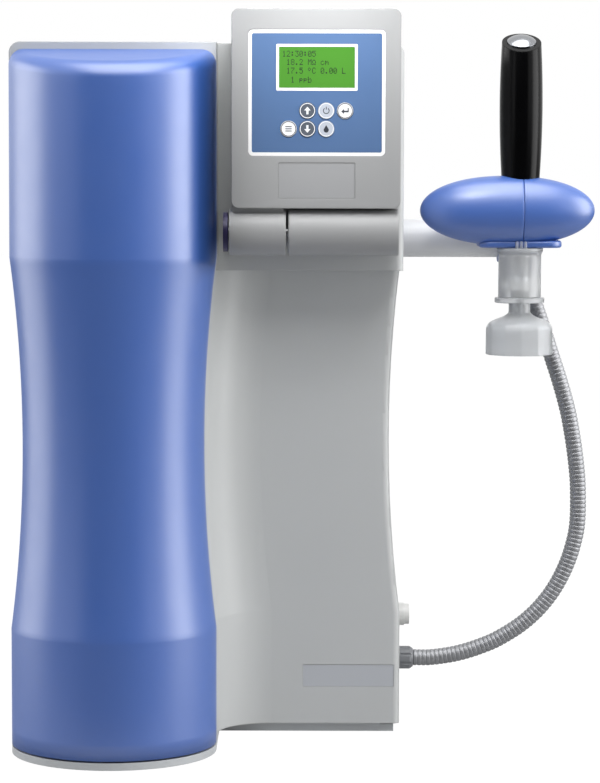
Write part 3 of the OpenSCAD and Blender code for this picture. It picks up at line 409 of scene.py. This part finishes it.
BLUE = screen(60, 103, 186)
finishes = {
    "housing": plastic("housing_grey", screen(197, 199, 199), 0.42, 0.0008, 0.00003, 0.0012),
    "base": plastic("base_grey", screen(196, 199, 201), 0.45),
    "rubber": plastic("foot_rubber", screen(34, 34, 36), 0.75, 0.0004, 0.00004),
    "blue": plastic("blue_plastic", BLUE, 0.38, 0.0007, 0.000015, 0.0008, specular=1.0, ior=1.7),
    "panel": plastic("panel_paint", screen(186, 188, 192), 0.5, 0.0012, 0.00004),
    "chassis": plastic("chassis_sheet", screen(190, 191, 193), 0.4),
    "cartridge": plastic("white_polypropylene", screen(238, 238, 235), 0.4),
    "dark": plastic("dark_plastic", screen(58, 60, 64), 0.45),
    "psu": plastic("plated_case", screen(165, 166, 170), 0.38),
    "board": plastic("circuit_board", screen(28, 92, 52), 0.35),
    "console": plastic("console_silver", screen(163, 164, 165), 0.42, 0.0006, 0.00002, 0.0016,
                       specular=0.4),
    "foil_white": plastic("foil_white", screen(252, 252, 253), 0.32, 0.0004, 0.000006, 0.0003),
    "foil_blue": plastic("foil_blue", screen(85, 114, 157), 0.34, 0.0004, 0.000006, 0.0002),
    "lcd": plastic("display_green", screen(70, 126, 46), 0.12, 0.0009, 0.000001, 0.0002, glow=0.42),
    "key_white": plastic("key_white", screen(246, 247, 250), 0.25, 0.0004, 0.000006, 0.0005),
    "key_dark": plastic("key_dark", screen(92, 98, 108), 0.25, 0.0004, 0.000006, 0.0005),
    "key_silver": plastic("key_silver", screen(188, 194, 205), 0.25, 0.0004, 0.000006, 0.0005),
    "arm": plastic("arm_white", screen(242, 243, 245), 0.3),
    "grip": plastic("grip_black", screen(5, 5, 6), 0.22, 0.0006, 0.00001, 0.0010, specular=0.15),
    "milky": plastic("milky_plastic", screen(246, 248, 250), 0.30, 0.0009, 0.00001, 0.0005, clear=0.72),
    "membrane": plastic("membrane", screen(240, 240, 238), 0.8, 0.0003, 0.00004),
    "gland": plastic("gland_grey", screen(130, 132, 136), 0.4),
    "port": plastic("port_white", screen(236, 236, 234), 0.35),
    # Painted shade: the cap's dark violet copies the shaded end of the hinge beside the blue column.
    "cap": plastic("cap_painted_shade", screen(58, 52, 96), 0.35),
    "label": plastic("bare_plate", screen(166, 167, 169), 0.36, 0.0003, 0.000008, 0.0002),
    "housing_label": plastic("pale_plate", screen(190, 193, 198), 0.36, 0.0003, 0.000008, 0.0002),
}
print(len(finishes), "plastics")


# %% [markdown]
# ## Metal
# The hose has a metal skin, the button is polished chrome, and the pin and the reactor are
# turned steel. Metal takes its colour from its reflection, so its tint is the reflection's.

# %% Metals
def metal(name, colour, gloss, grain, depth, stretch=(1, 1, 1)):
    """Full metallic shading; a stretched noise brushes its gloss and its normal."""
    f = Finish(name)
    brush = f.noise(grain, 3.0, 0.6, stretch)
    tint = f.mix(f.noise(0.03, 3.0), darker(colour, 0.9), colour)
    normal = f.bump(brush, depth, f.round_edges(0.0004))
    return f.surface(base_color=tint, metallic=1.0, roughness=brush * 0.12 + gloss, normal=normal)


finishes["steel"] = metal("turned_steel", screen(186, 188, 192), 0.28, 0.001, 0.00001, (1, 1, 12))
finishes["button"] = metal("button_chrome", screen(160, 162, 166), 0.16, 0.002, 0.000002)
finishes["hose"] = metal("hose_skin", screen(168, 169, 172), 0.50, 0.0008, 0.00001)
hose.data.materials.append(finishes["hose"])

# %% Dress the CAD nodes
slots = {part["node"]: part["material_slot"] for part in frame["record"]["subparts"]}
for name, slot in slots.items():
    node = frame["nodes"][name]
    finish = finishes.get(name, finishes[slot])
    if not node.material_slots:
        node.data.materials.append(finish)
    for material_slot in node.material_slots:
        material_slot.material = finish
print("dressed", len(slots), "nodes")


# %% [markdown]
# ## Round edges on the console and its hinge
# A moulding has no sharp edge. The console's front rim is rounded by nearly 5 mm, and that rim
# catches the light along its top and its right side. A copy of the CAD mesh gets its coplanar
# triangles joined, and then its chosen sharp edges are bevelled with several segments.

# %% Softened copies
FLAT_WITHIN = math.radians(0.8)
SHARP_FROM = math.radians(40)
SMOOTH_BELOW = math.radians(35)


def softened(name, node, body, steps):
    """A copy of a CAD node; each step is a radius and a test on the ends of its edges."""
    mesh = frame["nodes"][node].data.copy()
    piece = bpy.data.objects.new(name, mesh)
    bpy.context.collection.objects.link(piece)
    work = bmesh.new()
    work.from_mesh(mesh)
    bmesh.ops.remove_doubles(work, verts=work.verts, dist=2e-6)
    bmesh.ops.dissolve_limit(work, angle_limit=FLAT_WITHIN, verts=work.verts, edges=work.edges)
    for radius, chosen in steps:
        ends = np.array([[v.co[:] for v in e.verts] for e in work.edges])
        turn = np.array([e.calc_face_angle(0.0) for e in work.edges])
        picked = np.flatnonzero(chosen(ends) & (turn > SHARP_FROM))
        work.edges.ensure_lookup_table()
        bmesh.ops.bevel(work, geom=[work.edges[k] for k in picked], offset=radius,
                        offset_type="OFFSET", segments=6, profile=0.5, affect="EDGES",
                        clamp_overlap=True)
        print(name, "rounded", len(picked), "edges")
    work.to_mesh(mesh)
    work.free()
    mesh.polygons.foreach_set("use_smooth", np.full(len(mesh.polygons), True))
    mesh.set_sharp_from_angle(angle=SMOOTH_BELOW)
    even = piece.modifiers.new("even_normals", "WEIGHTED_NORMAL")
    even.keep_sharp, even.weight = True, 90
    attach(piece, body)
    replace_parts(piece, node)
    return piece


back_low, back_high = (np.array(corner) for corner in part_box("console_back"))
CONSOLE_DEPTH, RIM_ZONE = 0.032, 0.0061
CONSOLE_Y = back_high[1] - CONSOLE_DEPTH


def on_rim(ends):
    """Edges of the console's front face that lie on its outer outline."""
    from_low = (ends - back_low)[..., [0, 2]]
    from_high = (back_high - ends)[..., [0, 2]]
    outer = (np.minimum(from_low, from_high) < RIM_ZONE).any(-1)
    return (outer & (ends[..., 1] < CONSOLE_Y + 1e-5)).all(1)


def at_x(*places):
    """Edges whose two ends lie on one of the upright planes at these places across the width."""
    def chosen(ends):
        near = np.abs(ends[..., 0, None] - np.array(places)) < 2e-5
        return near.all(1).any(-1)
    return chosen


def rear_rim(ends):
    """Edges of the console's rear face."""
    return (ends[..., 1] > back_high[1] - 1e-5).all(1)


RIM_RADIUS, REAR_RADIUS, HINGE_RADIUS, KNUCKLE_LENGTH = 0.0048, 0.0025, 0.0010, 0.0466
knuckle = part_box("console_shell")[0][0]
barrel = [corner[0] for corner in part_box("hinge_bracket")]
softened("console_case", "console_shell", "console",
         [(RIM_RADIUS, on_rim), (HINGE_RADIUS, at_x(knuckle, knuckle + KNUCKLE_LENGTH))])
softened("console_rear_cover", "console_back", "console", [(REAR_RADIUS, rear_rim)])
softened("hinge_barrel", "hinge_bracket", "root", [(HINGE_RADIUS, at_x(*barrel))])


# %% [markdown]
# ## Cartridge cover
# The blue cover is one deep-drawn half round shell. Its wall is straight at both ends and draws
# in by 10 mm on a wide arc between two soft creases, and its top slopes to the front with a
# rounded rim. A grid of angle by height gives the outer face, and the same grid 3 mm inside
# gives the wall, so the shell is a true closed solid when it is pulled off.

# %% Cover
COLUMN = (-0.160, -0.101)
COVER_LOW, COVER_HIGH, COVER_WALL = 0.009, 0.582, 0.003
FOOT_RADIUS, TOP_RADIUS, RIM = 0.0850, 0.0848, 0.012
WAIST_LOW, WAIST_HIGH, WAIST_DEPTH, CREASE = 0.105, 0.412, 0.010, 0.0012
STANDS_OFF = 0.0002
TOP_SLOPE = math.tan(math.radians(9.0))


def waist_inset(z):
    """How far the wall draws in at a height: the sagitta of a circle through the two creases."""
    half, middle = (WAIST_HIGH - WAIST_LOW) / 2, (WAIST_HIGH + WAIST_LOW) / 2
    big = (half**2 + WAIST_DEPTH**2) / (2 * WAIST_DEPTH)
    inside = np.clip(half**2 - (z - middle)**2, 0, None)
    return WAIST_DEPTH - (big - np.sqrt(big**2 - half**2 + inside))


def cover_face(inset, rim):
    """Rows go up the wall, over the rim and in to the middle; columns go half way round the front."""
    angle = np.linspace(np.pi, 2 * np.pi, 145)
    sine, cosine = np.sin(angle), np.cos(angle)
    top_radius, top_z = TOP_RADIUS - inset, COVER_HIGH - inset

    level = np.concatenate([np.linspace(COVER_LOW, WAIST_LOW - CREASE, 8),
                            np.linspace(WAIST_LOW, WAIST_HIGH, 71), [WAIST_HIGH + CREASE]])
    wall = FOOT_RADIUS - waist_inset(level) - inset
    radius = [wall[:, None] + 0 * sine]
    height = [level[:, None] + 0 * sine]

    edge_z = top_z + top_radius * sine * TOP_SLOPE - rim
    climb = np.linspace(0.12, 0.95, 8)[:, None]
    radius.append(wall[-1] + (top_radius - wall[-1]) * climb + 0 * sine)
    height.append(level[-1] + (edge_z - level[-1]) * climb)

    bend = np.radians(np.linspace(0, 90, 12))[:, None]
    over = top_radius - rim * (1 - np.cos(bend)) + 0 * sine
    radius.append(over)
    height.append(top_z + over * sine * TOP_SLOPE - rim * (1 - np.sin(bend)))

    flat = (top_radius - rim) * np.linspace(0.94, 0, 14)[:, None] + 0 * sine
    radius.append(flat)
    height.append(top_z + flat * sine * TOP_SLOPE)

    radius, height = np.concatenate(radius), np.concatenate(height)
    x = COLUMN[0] + radius * cosine
    y = COLUMN[1] - STANDS_OFF + radius * sine
    return np.stack([x, y, height], -1)


cover = shell("cover_shell", cover_face(0.0, RIM), cover_face(COVER_WALL, RIM - COVER_WALL),
              finishes["blue"])
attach(cover, "cover")
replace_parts(cover, "cartridge_cover")
print("cover faces", len(cover.data.polygons))


# %% [markdown]
# ## Dispenser pod
# The pod is two moulded halves that meet on an upright seam. Its outline is a long oval turned
# about its long axis, a little fuller than an ellipse, and its upper side is a little squarer
# than its underside. The rim of each half dips at the seam, which draws the thin dark line.

# %% Pod halves
POD = (0.1705, -0.010, 0.4493)
POD_LENGTH, POD_RADIUS = 0.149, 0.02965
POD_POWER, ROUND, SQUARER = 2.2, 2.0, 0.6
SEAM_X, SEAM_LIP = 0.183, 0.0009


def pod_half(name, side):
    """Rings along the long axis, close together at the tip, with three more that dip into the seam."""
    tip = POD[0] + side * POD_LENGTH / 2
    along = 1 - np.cos(np.linspace(0.02, 1, 60) * np.pi / 2)
    body_x = tip + (SEAM_X + side * SEAM_LIP - tip) * along
    seam_x = SEAM_X + side * np.array([0.0005, 0.0002, 0.00005])
    x = np.concatenate([body_x, seam_x])
    dip = np.concatenate([0 * body_x, [0.0001, 0.0004, 0.0013]])
    s = np.clip(np.abs(x - POD[0]) / (POD_LENGTH / 2), 0, 1)
    radius = POD_RADIUS * np.sqrt(1 - s**POD_POWER) - dip
    w = 2 * np.pi * np.arange(112) / 112
    sine, cosine = np.sin(w), np.cos(w)
    power = ROUND + SQUARER * np.clip(sine, 0, 1)
    square = (np.abs(sine)**power + np.abs(cosine)**power) ** (-1 / power)
    y = POD[1] + radius[:, None] * square * cosine
    z = POD[2] + radius[:, None] * square * sine
    rings = np.stack([np.broadcast_to(x[:, None], y.shape), y, z], -1)
    piece = tube(name, rings, finishes["blue"])
    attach(piece, "dispenser")
    return piece


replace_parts(pod_half("pod_shell_left", -1), "pod_left")
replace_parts(pod_half("pod_shell_right", 1), "pod_right")

# %% Pod plate
PLATE_AT = (0.1815, 0.003)
PLATE_WIDTH, PLATE_DEPTH, PLATE_CORNER, PLATE_EDGE = 0.0706, 0.056, 0.012, 0.0022
PLATE_LOW, PLATE_HIGH = 0.4178, 0.4240
outline, out = rounded_outline(PLATE_WIDTH, PLATE_DEPTH, PLATE_CORNER, 12)
plate = slab("pod_base_plate", outline, out, PLATE_AT, PLATE_LOW, PLATE_HIGH, PLATE_EDGE,
             finishes["blue"])
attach(plate, "dispenser")
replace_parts(plate, "pod_plate")


# %% [markdown]
# ## Filter and bell
# The final filter is a milky polypropylene part: a collar with a flared lip, a thin flange, a
# narrow neck and a bell that keeps dust from the outlet. Turned profiles in millimetres make
# them, with a cubic curve for the bell's shoulder. The skirt has twelve very soft flats.

# %% Collar and bell
OUTLET = (0.1815, -0.010)


def bezier(a, b, c, d, count=18):
    """A cubic curve from a to d that leaves towards b and arrives from c."""
    t = np.linspace(0, 1, count)[:, None]
    a, b, c, d = (np.array(p, float) for p in (a, b, c, d))
    return a * (1 - t)**3 + 3 * b * t * (1 - t)**2 + 3 * c * t**2 * (1 - t) + d * t**3


collar_profile = np.concatenate([
    [(5.3, 376.5), (16.6, 375.4)], arc((17.2, 376.4), 1.0, -90, 0, 5), [(18.2, 410.8)],
    bezier((18.2, 411.4), (18.3, 413.2), (19.4, 413.4), (19.7, 415.6), 8),
    arc((19.2, 416.8), 0.6, 0, 180, 7), bezier((17.9, 415.5), (17.6, 413.6), (16.4, 413), (16.2, 411), 6),
    [(12.0, 409.5), (5.3, 409.0)]]) / 1000.0
collar = turned("filter_collar_shell", collar_profile, OUTLET, 96, finishes["milky"])
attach(collar, "dispenser")
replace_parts(collar, "filter_collar")

bell_profile = np.concatenate([
    [(2.5, 375.2), (20.2, 375.3)], arc((20.4, 374.5), 0.8, 80, 0, 5), arc((20.4, 371.6), 0.8, 0, -90, 5),
    bezier((10.6, 370.8), (9.4, 370.7), (9.2, 370.2), (9.2, 369.0), 5),
    bezier((9.2, 363.2), (9.4, 361.6), (11.5, 360.2), (14.0, 359.0), 7),
    bezier((14.6, 358.7), (20.4, 356.0), (28.2, 355.2), (28.2, 347.4), 18)[1:],
    [(28.25, 340), (28.3, 334), (28.35, 327.3)], arc((27.6, 327.2), 0.75, 0, -180, 7),
    [(26.7, 334), (26.5, 340), (26.3, 347)],
    bezier((26.2, 347.4), (26.0, 352.6), (19.6, 353.8), (12.6, 356.8), 14)[1:],
    [(7.0, 358.6), (6.6, 353.5), (5.8, 353.0), (4.0, 353.0), (2.5, 353.4)]]) / 1000.0
BELL_SIDES, FLATS, FLATNESS = 144, 12, 0.45
SKIRT_RADIUS, SKIRT_TOP = 0.024, 0.352
turn = 2 * np.pi * np.arange(BELL_SIDES) / BELL_SIDES
half_flat = np.pi / FLATS
flats = np.cos(half_flat) / np.cos(turn % (2 * half_flat) - half_flat)
on_skirt = (bell_profile[:, 0] > SKIRT_RADIUS) & (bell_profile[:, 1] < SKIRT_TOP)
swell = 1 + FLATNESS * on_skirt[:, None] * (flats / np.mean([1, flats.min()]) - 1)
bell = turned("dust_bell", bell_profile, OUTLET, BELL_SIDES, finishes["milky"], swell)
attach(bell, "dispenser")
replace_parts(bell, "filter_bell")

# %% Ribs on the outlet
RIB_Y, RIB_SPACING = -0.0248, 0.0036
outlet_rib_z = np.array([0.4120, 0.4124, 0.4226, 0.4232, 0.4236])[:, None]
outlet_rib_radius = np.array([0.0010, 0.0014, 0.0014, 0.0010, 0.0003])[:, None]
around = 2 * np.pi * np.arange(24) / 24
for number, place in enumerate((-1, 0, 1), 1):
    x = OUTLET[0] + place * RIB_SPACING + outlet_rib_radius * np.cos(around)
    y = RIB_Y + outlet_rib_radius * np.sin(around)
    rings = np.stack([x, y, np.broadcast_to(outlet_rib_z, x.shape)], -1)
    rib = tube(f"outlet_rib_{number}", rings, finishes["milky"])
    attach(rib, "dispenser")
print("ribs on the outlet", number)


# %% [markdown]
# ## Display
# A character display has cells of five by seven dots. Each glyph is seven numbers whose five
# bits are the dots of a row, so a line of text becomes an array of dot centres. The dots are
# thin boxes on the window. An apostrophe stands for the degree sign and O for the ohm sign.

# %% Dots
GLYPHS = {
    "0": (14, 17, 19, 21, 25, 17, 14), "1": (4, 12, 4, 4, 4, 4, 14), "2": (14, 17, 1, 2, 4, 8, 31),
    "3": (31, 2, 4, 2, 1, 17, 14), "5": (31, 16, 30, 1, 1, 17, 14), "7": (31, 1, 2, 4, 8, 8, 8),
    "8": (14, 17, 17, 14, 17, 17, 14), ".": (0, 0, 0, 0, 0, 12, 12), ":": (0, 12, 12, 0, 12, 12, 0),
    "M": (17, 27, 21, 21, 17, 17, 17), "C": (14, 17, 16, 16, 16, 17, 14), "L": (16, 16, 16, 16, 16, 16, 31),
    "c": (0, 0, 14, 16, 16, 17, 14), "m": (0, 0, 26, 21, 21, 17, 17), "p": (0, 0, 30, 17, 30, 16, 16),
    "b": (16, 16, 22, 25, 17, 17, 30), "'": (12, 18, 18, 12, 0, 0, 0), "O": (0, 14, 17, 17, 17, 10, 27),
    " ": (0,) * 7}
WINDOW_LEFT, WINDOW_LOW, WINDOW_HIGH, WINDOW_Y = -0.0240, 0.5506, 0.5840, -0.1077
TEXT_LEFT, CELL_WIDTH = 0.0032, 0.00348
DOT_STEP_X, DOT_STEP_Z = 0.00058, 0.00070
DOT_SIZE = (0.00056, 0.00008, 0.00068)
LINE_PLACES = (0.17, 0.37, 0.58, 0.80)
LINE_RISE, DOT_RISE = 0.0021, 0.00002


def boxes(name, centres, size, finish):
    """One box of a size at each centre, all in one mesh."""
    corner = np.array([(x, y, z) for z in (-0.5, 0.5) for y in (-0.5, 0.5) for x in (-0.5, 0.5)])
    points = (centres[:, None] + corner * np.array(size)).reshape(-1, 3)
    quads = np.array([(0, 1, 3, 2), (4, 6, 7, 5), (0, 4, 5, 1), (2, 3, 7, 6), (0, 2, 6, 4), (1, 5, 7, 3)])
    faces = (np.arange(len(centres))[:, None, None] * 8 + quads).reshape(-1, 4)
    return add_object(name, points, faces.tolist(), finish, smooth=False)


def dot_line(text, line):
    """The centres of the lit dots of one of the four lines of sixteen cells."""
    rows = np.array([GLYPHS[c] for c in text])
    lit = (rows[:, :, None] >> np.arange(4, -1, -1)) & 1
    cell, row, column = np.nonzero(lit)
    x = WINDOW_LEFT + TEXT_LEFT + cell * CELL_WIDTH + column * DOT_STEP_X
    middle = WINDOW_HIGH - LINE_PLACES[line] * (WINDOW_HIGH - WINDOW_LOW)
    z = middle + LINE_RISE - row * DOT_STEP_Z
    return np.stack([x, np.full(len(x), WINDOW_Y - DOT_RISE), z], -1)


ink = plastic("display_ink", screen(14, 34, 12), 0.4, 0.0009, 0.000001, 0.0001)
shown = ["12:30:05", " 18.2 MO cm", " 17.5 'C 0.00 L", "  1 ppb"]
dots = np.concatenate([dot_line(text, k) for k, text in enumerate(shown)])
digits = boxes("display_dots", dots, DOT_SIZE, ink)
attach(digits, "console")
print(len(dots), "dots")


# %% [markdown]
# ## Marks on the keys
# Each key has a printed ring and a plain pictogram: two arrows, a standby ring, a drop, a list
# and a return arrow. A mark is a flat outline in millimetres, raised by a tenth of one.

# %% Key marks
KEY_TOP, MARK_FOOT, MARK_HEIGHT = -0.1086, 0.00003, 0.0001
RING_INNER, RING_OUTER = 5.6, 6.2
mark_dark = plastic("mark_dark", screen(52, 56, 66), 0.4, 0.0009, 0.000001, 0.0001)
mark_light = plastic("mark_light", screen(240, 242, 246), 0.4, 0.0009, 0.000001, 0.0001)


def ring_part(inner, outer, start, stop):
    """The outline of a part of a flat ring between two angles in degrees."""
    return np.concatenate([arc((0, 0), outer, start, stop, 41), arc((0, 0), inner, stop, start, 41)])


def raised(name, body, node, outlines, finish):
    """Flat outlines in millimetres from the middle of a key, raised from its top."""
    low, high = (np.array(corner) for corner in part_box(node))
    centre = (low + high) / 2
    points, faces = [], []
    for line in outlines:
        line = np.asarray(line, float) / 1000.0
        count, first = len(line), sum(len(p) for p in points)
        x, z = centre[0] + line[:, 0], centre[2] + line[:, 1]
        for y in (KEY_TOP + MARK_FOOT, KEY_TOP - MARK_HEIGHT):
            points.append(np.stack([x, np.full(count, y), z], -1))
        k = np.arange(count)
        n = (k + 1) % count
        faces += np.stack([first + k, first + n, first + count + n, first + count + k], -1).tolist()
        faces += [(first + k[::-1]).tolist(), (first + count + k).tolist()]
    piece = add_object(name, np.concatenate(points), faces, finish, smooth=False)
    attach(piece, body)


def bar(x0, z0, x1, z1):
    """A rectangle's outline from two of its corners."""
    return [(x0, z0), (x1, z0), (x1, z1), (x0, z1)]


ARROW_UP = [(-2.6, 0.2), (0, 3.2), (2.6, 0.2), (0.9, 0.2), (0.9, -3.0), (-0.9, -3.0), (-0.9, 0.2)]
ARROW_BACK = [(-3.2, -0.6), (-0.8, 1.5), (-0.8, 0.1), (2.0, 0.1), (2.0, 2.2), (3.0, 2.2),
              (3.0, -1.3), (-0.8, -1.3), (-0.8, -2.7)]
marks = {
    "up": ([ARROW_UP], mark_light),
    "down": ([[(x, -z) for x, z in ARROW_UP]], mark_light),
    "standby": ([ring_part(2.0, 2.7, 125, 415), bar(-0.35, 0.9, 0.35, 3.3)], mark_dark),
    "dispense": ([np.concatenate([[(0, 3.2)], arc((0, -0.9), 2.1, 25, -205, 25)])], mark_dark),
    "menu": ([bar(-2.6, z - 0.35, 2.6, z + 0.35) for z in (-1.8, 0, 1.8)], mark_dark),
    "enter": ([ARROW_BACK], mark_dark)}
# A full ring is made as two halves, since an outline has no hole.
half_rings = [ring_part(RING_INNER, RING_OUTER, start, start + 180) for start in (0, 180)]
for key, (outlines, mark_finish) in marks.items():
    body = node = "key_" + key
    slot = slots[node]
    raised("mark_" + key, body, node, outlines, mark_finish)
    ring_finish = mark_dark if slot == "key_white" else mark_light
    raised("ring_" + key, body, node, half_rings, ring_finish)
print(len(marks), "keys marked")


# %% [markdown]
# ## Studio
# A tall soft box stands at each side, the left one a little behind the machine, and a wide one
# hangs above and in front, so the round column and the pod carry broad pale bands and stay dark
# in the middle. A small lamp over the console makes its face fade downwards. A dark card behind
# the camera keeps the front's reflections low, and a narrow dark flag beside the console keeps
# light off the column's right edge. The world is white to the camera, to reflections and through
# clear plastic, and much dimmer as a lamp.

# %% World, lamps and floor
WORLD_FILL = 0.20
FLOOR_GLOW, FLOOR_SHARE = 1.14, 0.88
FLOOR_PALE, FLOOR_FAR, FAR_Y = 0.50, 0.12, -0.30
FLOOR_HALF = 12.0

world = bpy.data.worlds.new("studio")
bpy.context.scene.world = world
world.use_nodes = True
tree = world.node_tree
tree.nodes.clear()
path = tree.nodes.new("ShaderNodeLightPath")
seen = tree.nodes.new("ShaderNodeBackground")
seen.inputs["Color"].default_value = (1, 1, 1, 1)
seen.inputs["Strength"].default_value = 1.0
fill = tree.nodes.new("ShaderNodeBackground")
fill.inputs["Color"].default_value = (1, 1, 1, 1)
fill.inputs["Strength"].default_value = WORLD_FILL
either = path.outputs["Is Camera Ray"]
for ray in ("Is Transmission Ray", "Is Glossy Ray"):
    larger = tree.nodes.new("ShaderNodeMath")
    larger.operation = "MAXIMUM"
    tree.links.new(either, larger.inputs[0])
    tree.links.new(path.outputs[ray], larger.inputs[1])
    either = larger.outputs[0]
blend = tree.nodes.new("ShaderNodeMixShader")
tree.links.new(either, blend.inputs["Fac"])
tree.links.new(fill.outputs[0], blend.inputs[1])
tree.links.new(seen.outputs[0], blend.inputs[2])
output = tree.nodes.new("ShaderNodeOutputWorld")
tree.links.new(blend.outputs[0], output.inputs["Surface"])


def soft_box(name, place, target, width, height, power, mirrored=True):
    """A rectangular lamp at a place, turned to face a target."""
    data = bpy.data.lights.new(name, "AREA")
    data.shape = "RECTANGLE"
    data.size, data.size_y, data.energy = width, height, power
    lamp = bpy.data.objects.new(name, data)
    lamp.location = place
    ahead = np.array(target) - np.array(place)
    yaw = math.atan2(ahead[1], ahead[0]) - math.pi / 2
    pitch = math.atan2(ahead[2], math.hypot(ahead[0], ahead[1]))
    lamp.rotation_euler = (math.pi / 2 + pitch, 0, yaw)
    lamp.visible_glossy = mirrored
    bpy.context.collection.objects.link(lamp)
    return lamp


# Each lamp has its place, its target, its width and height in metres and its power in watts.
soft_box("left_box", (-1.78, 0.30, 0.60), (-0.1, -0.05, 0.30), 1.45, 1.8, 22)
soft_box("right_box", (1.8, -0.26, 0.60), (0.1, -0.05, 0.32), 1.1, 1.8, 26)
soft_box("top_box", (0.10, -0.56, 1.42), (0.06, -0.10, 0.4), 1.3, 1.35, 18.5)
console_light = soft_box("console_light", (0.01, -0.30, 0.725), (0.01, -0.108, 0.605),
                         0.16, 0.05, 0.115)
console_light.data.spread = math.radians(62)
soft_box("front_fill", (0.5, -2.3, 0.4), (0, 0, 0.25), 1.2, 1.2, 1.7, mirrored=False)


def grey(value):
    """A neutral colour."""
    return (value, value, value, 1.0)


def floor_finish():
    """A pale floor that shows white to the camera, with part of the object's shadow kept.

    In reflections its far part, in front of the machine, is dark.
    """
    f = Finish("floor_white")
    path = f.node("ShaderNodeLightPath")
    far = f.node("ShaderNodeSeparateXYZ", None, {"Vector": f.place()})["Y"] < FAR_Y
    tone = f.mix(path["Is Glossy Ray"] * far, grey(FLOOR_PALE), grey(FLOOR_FAR))
    pale = f.node("ShaderNodeBsdfDiffuse", None, {"Color": tone})[0]
    white = f.node("ShaderNodeEmission", None, {"Color": grey(1.0), "Strength": FLOOR_GLOW})[0]
    share = path["Is Camera Ray"] * FLOOR_SHARE
    shader = f.node("ShaderNodeMixShader", None, {0: share, 1: pale, 2: white})
    f.node("ShaderNodeOutputMaterial", None, {"Surface": shader[0]})
    return f.material


def card_finish():
    """A dark matt finish for the card and the flag, which the camera doesn't see."""
    f = Finish("card_dark")
    dark = f.node("ShaderNodeBsdfDiffuse", None, {"Color": grey(0.03)})[0]
    f.node("ShaderNodeOutputMaterial", None, {"Surface": dark})
    return f.material


def dark_sheet(name, corners):
    """A sheet with four corners, given in two rows, that the camera doesn't see."""
    sheet = add_object(name, corners, [(0, 1, 3, 2)], card_dark, closed=False)
    sheet.visible_camera = False
    return sheet


u = np.linspace(-FLOOR_HALF, FLOOR_HALF, 3)
floor_points = np.stack([*np.meshgrid(u, u), np.zeros((3, 3))], -1).reshape(-1, 3)
floor = add_object("floor", floor_points, grid_faces(3, 3).tolist(), floor_finish(), closed=False)

CARD_Y, CARD_X, CARD_Z = -3.6, (-2.6, 2.6), (0.02, 4.0)
FLAG_X, FLAG_Y, FLAG_Z = -0.0645, (-0.152, -0.112), (0.405, 0.600)
card_dark = card_finish()
card = dark_sheet("dark_card", [(x, CARD_Y, z) for z in CARD_Z for x in CARD_X])
card.visible_diffuse = card.visible_shadow = card.visible_transmission = False
flag = dark_sheet("narrow_flag", [(FLAG_X, y, z) for z in FLAG_Z for y in FLAG_Y])

# %% Picture settings
scene = bpy.context.scene
scene.view_settings.view_transform = "Standard"
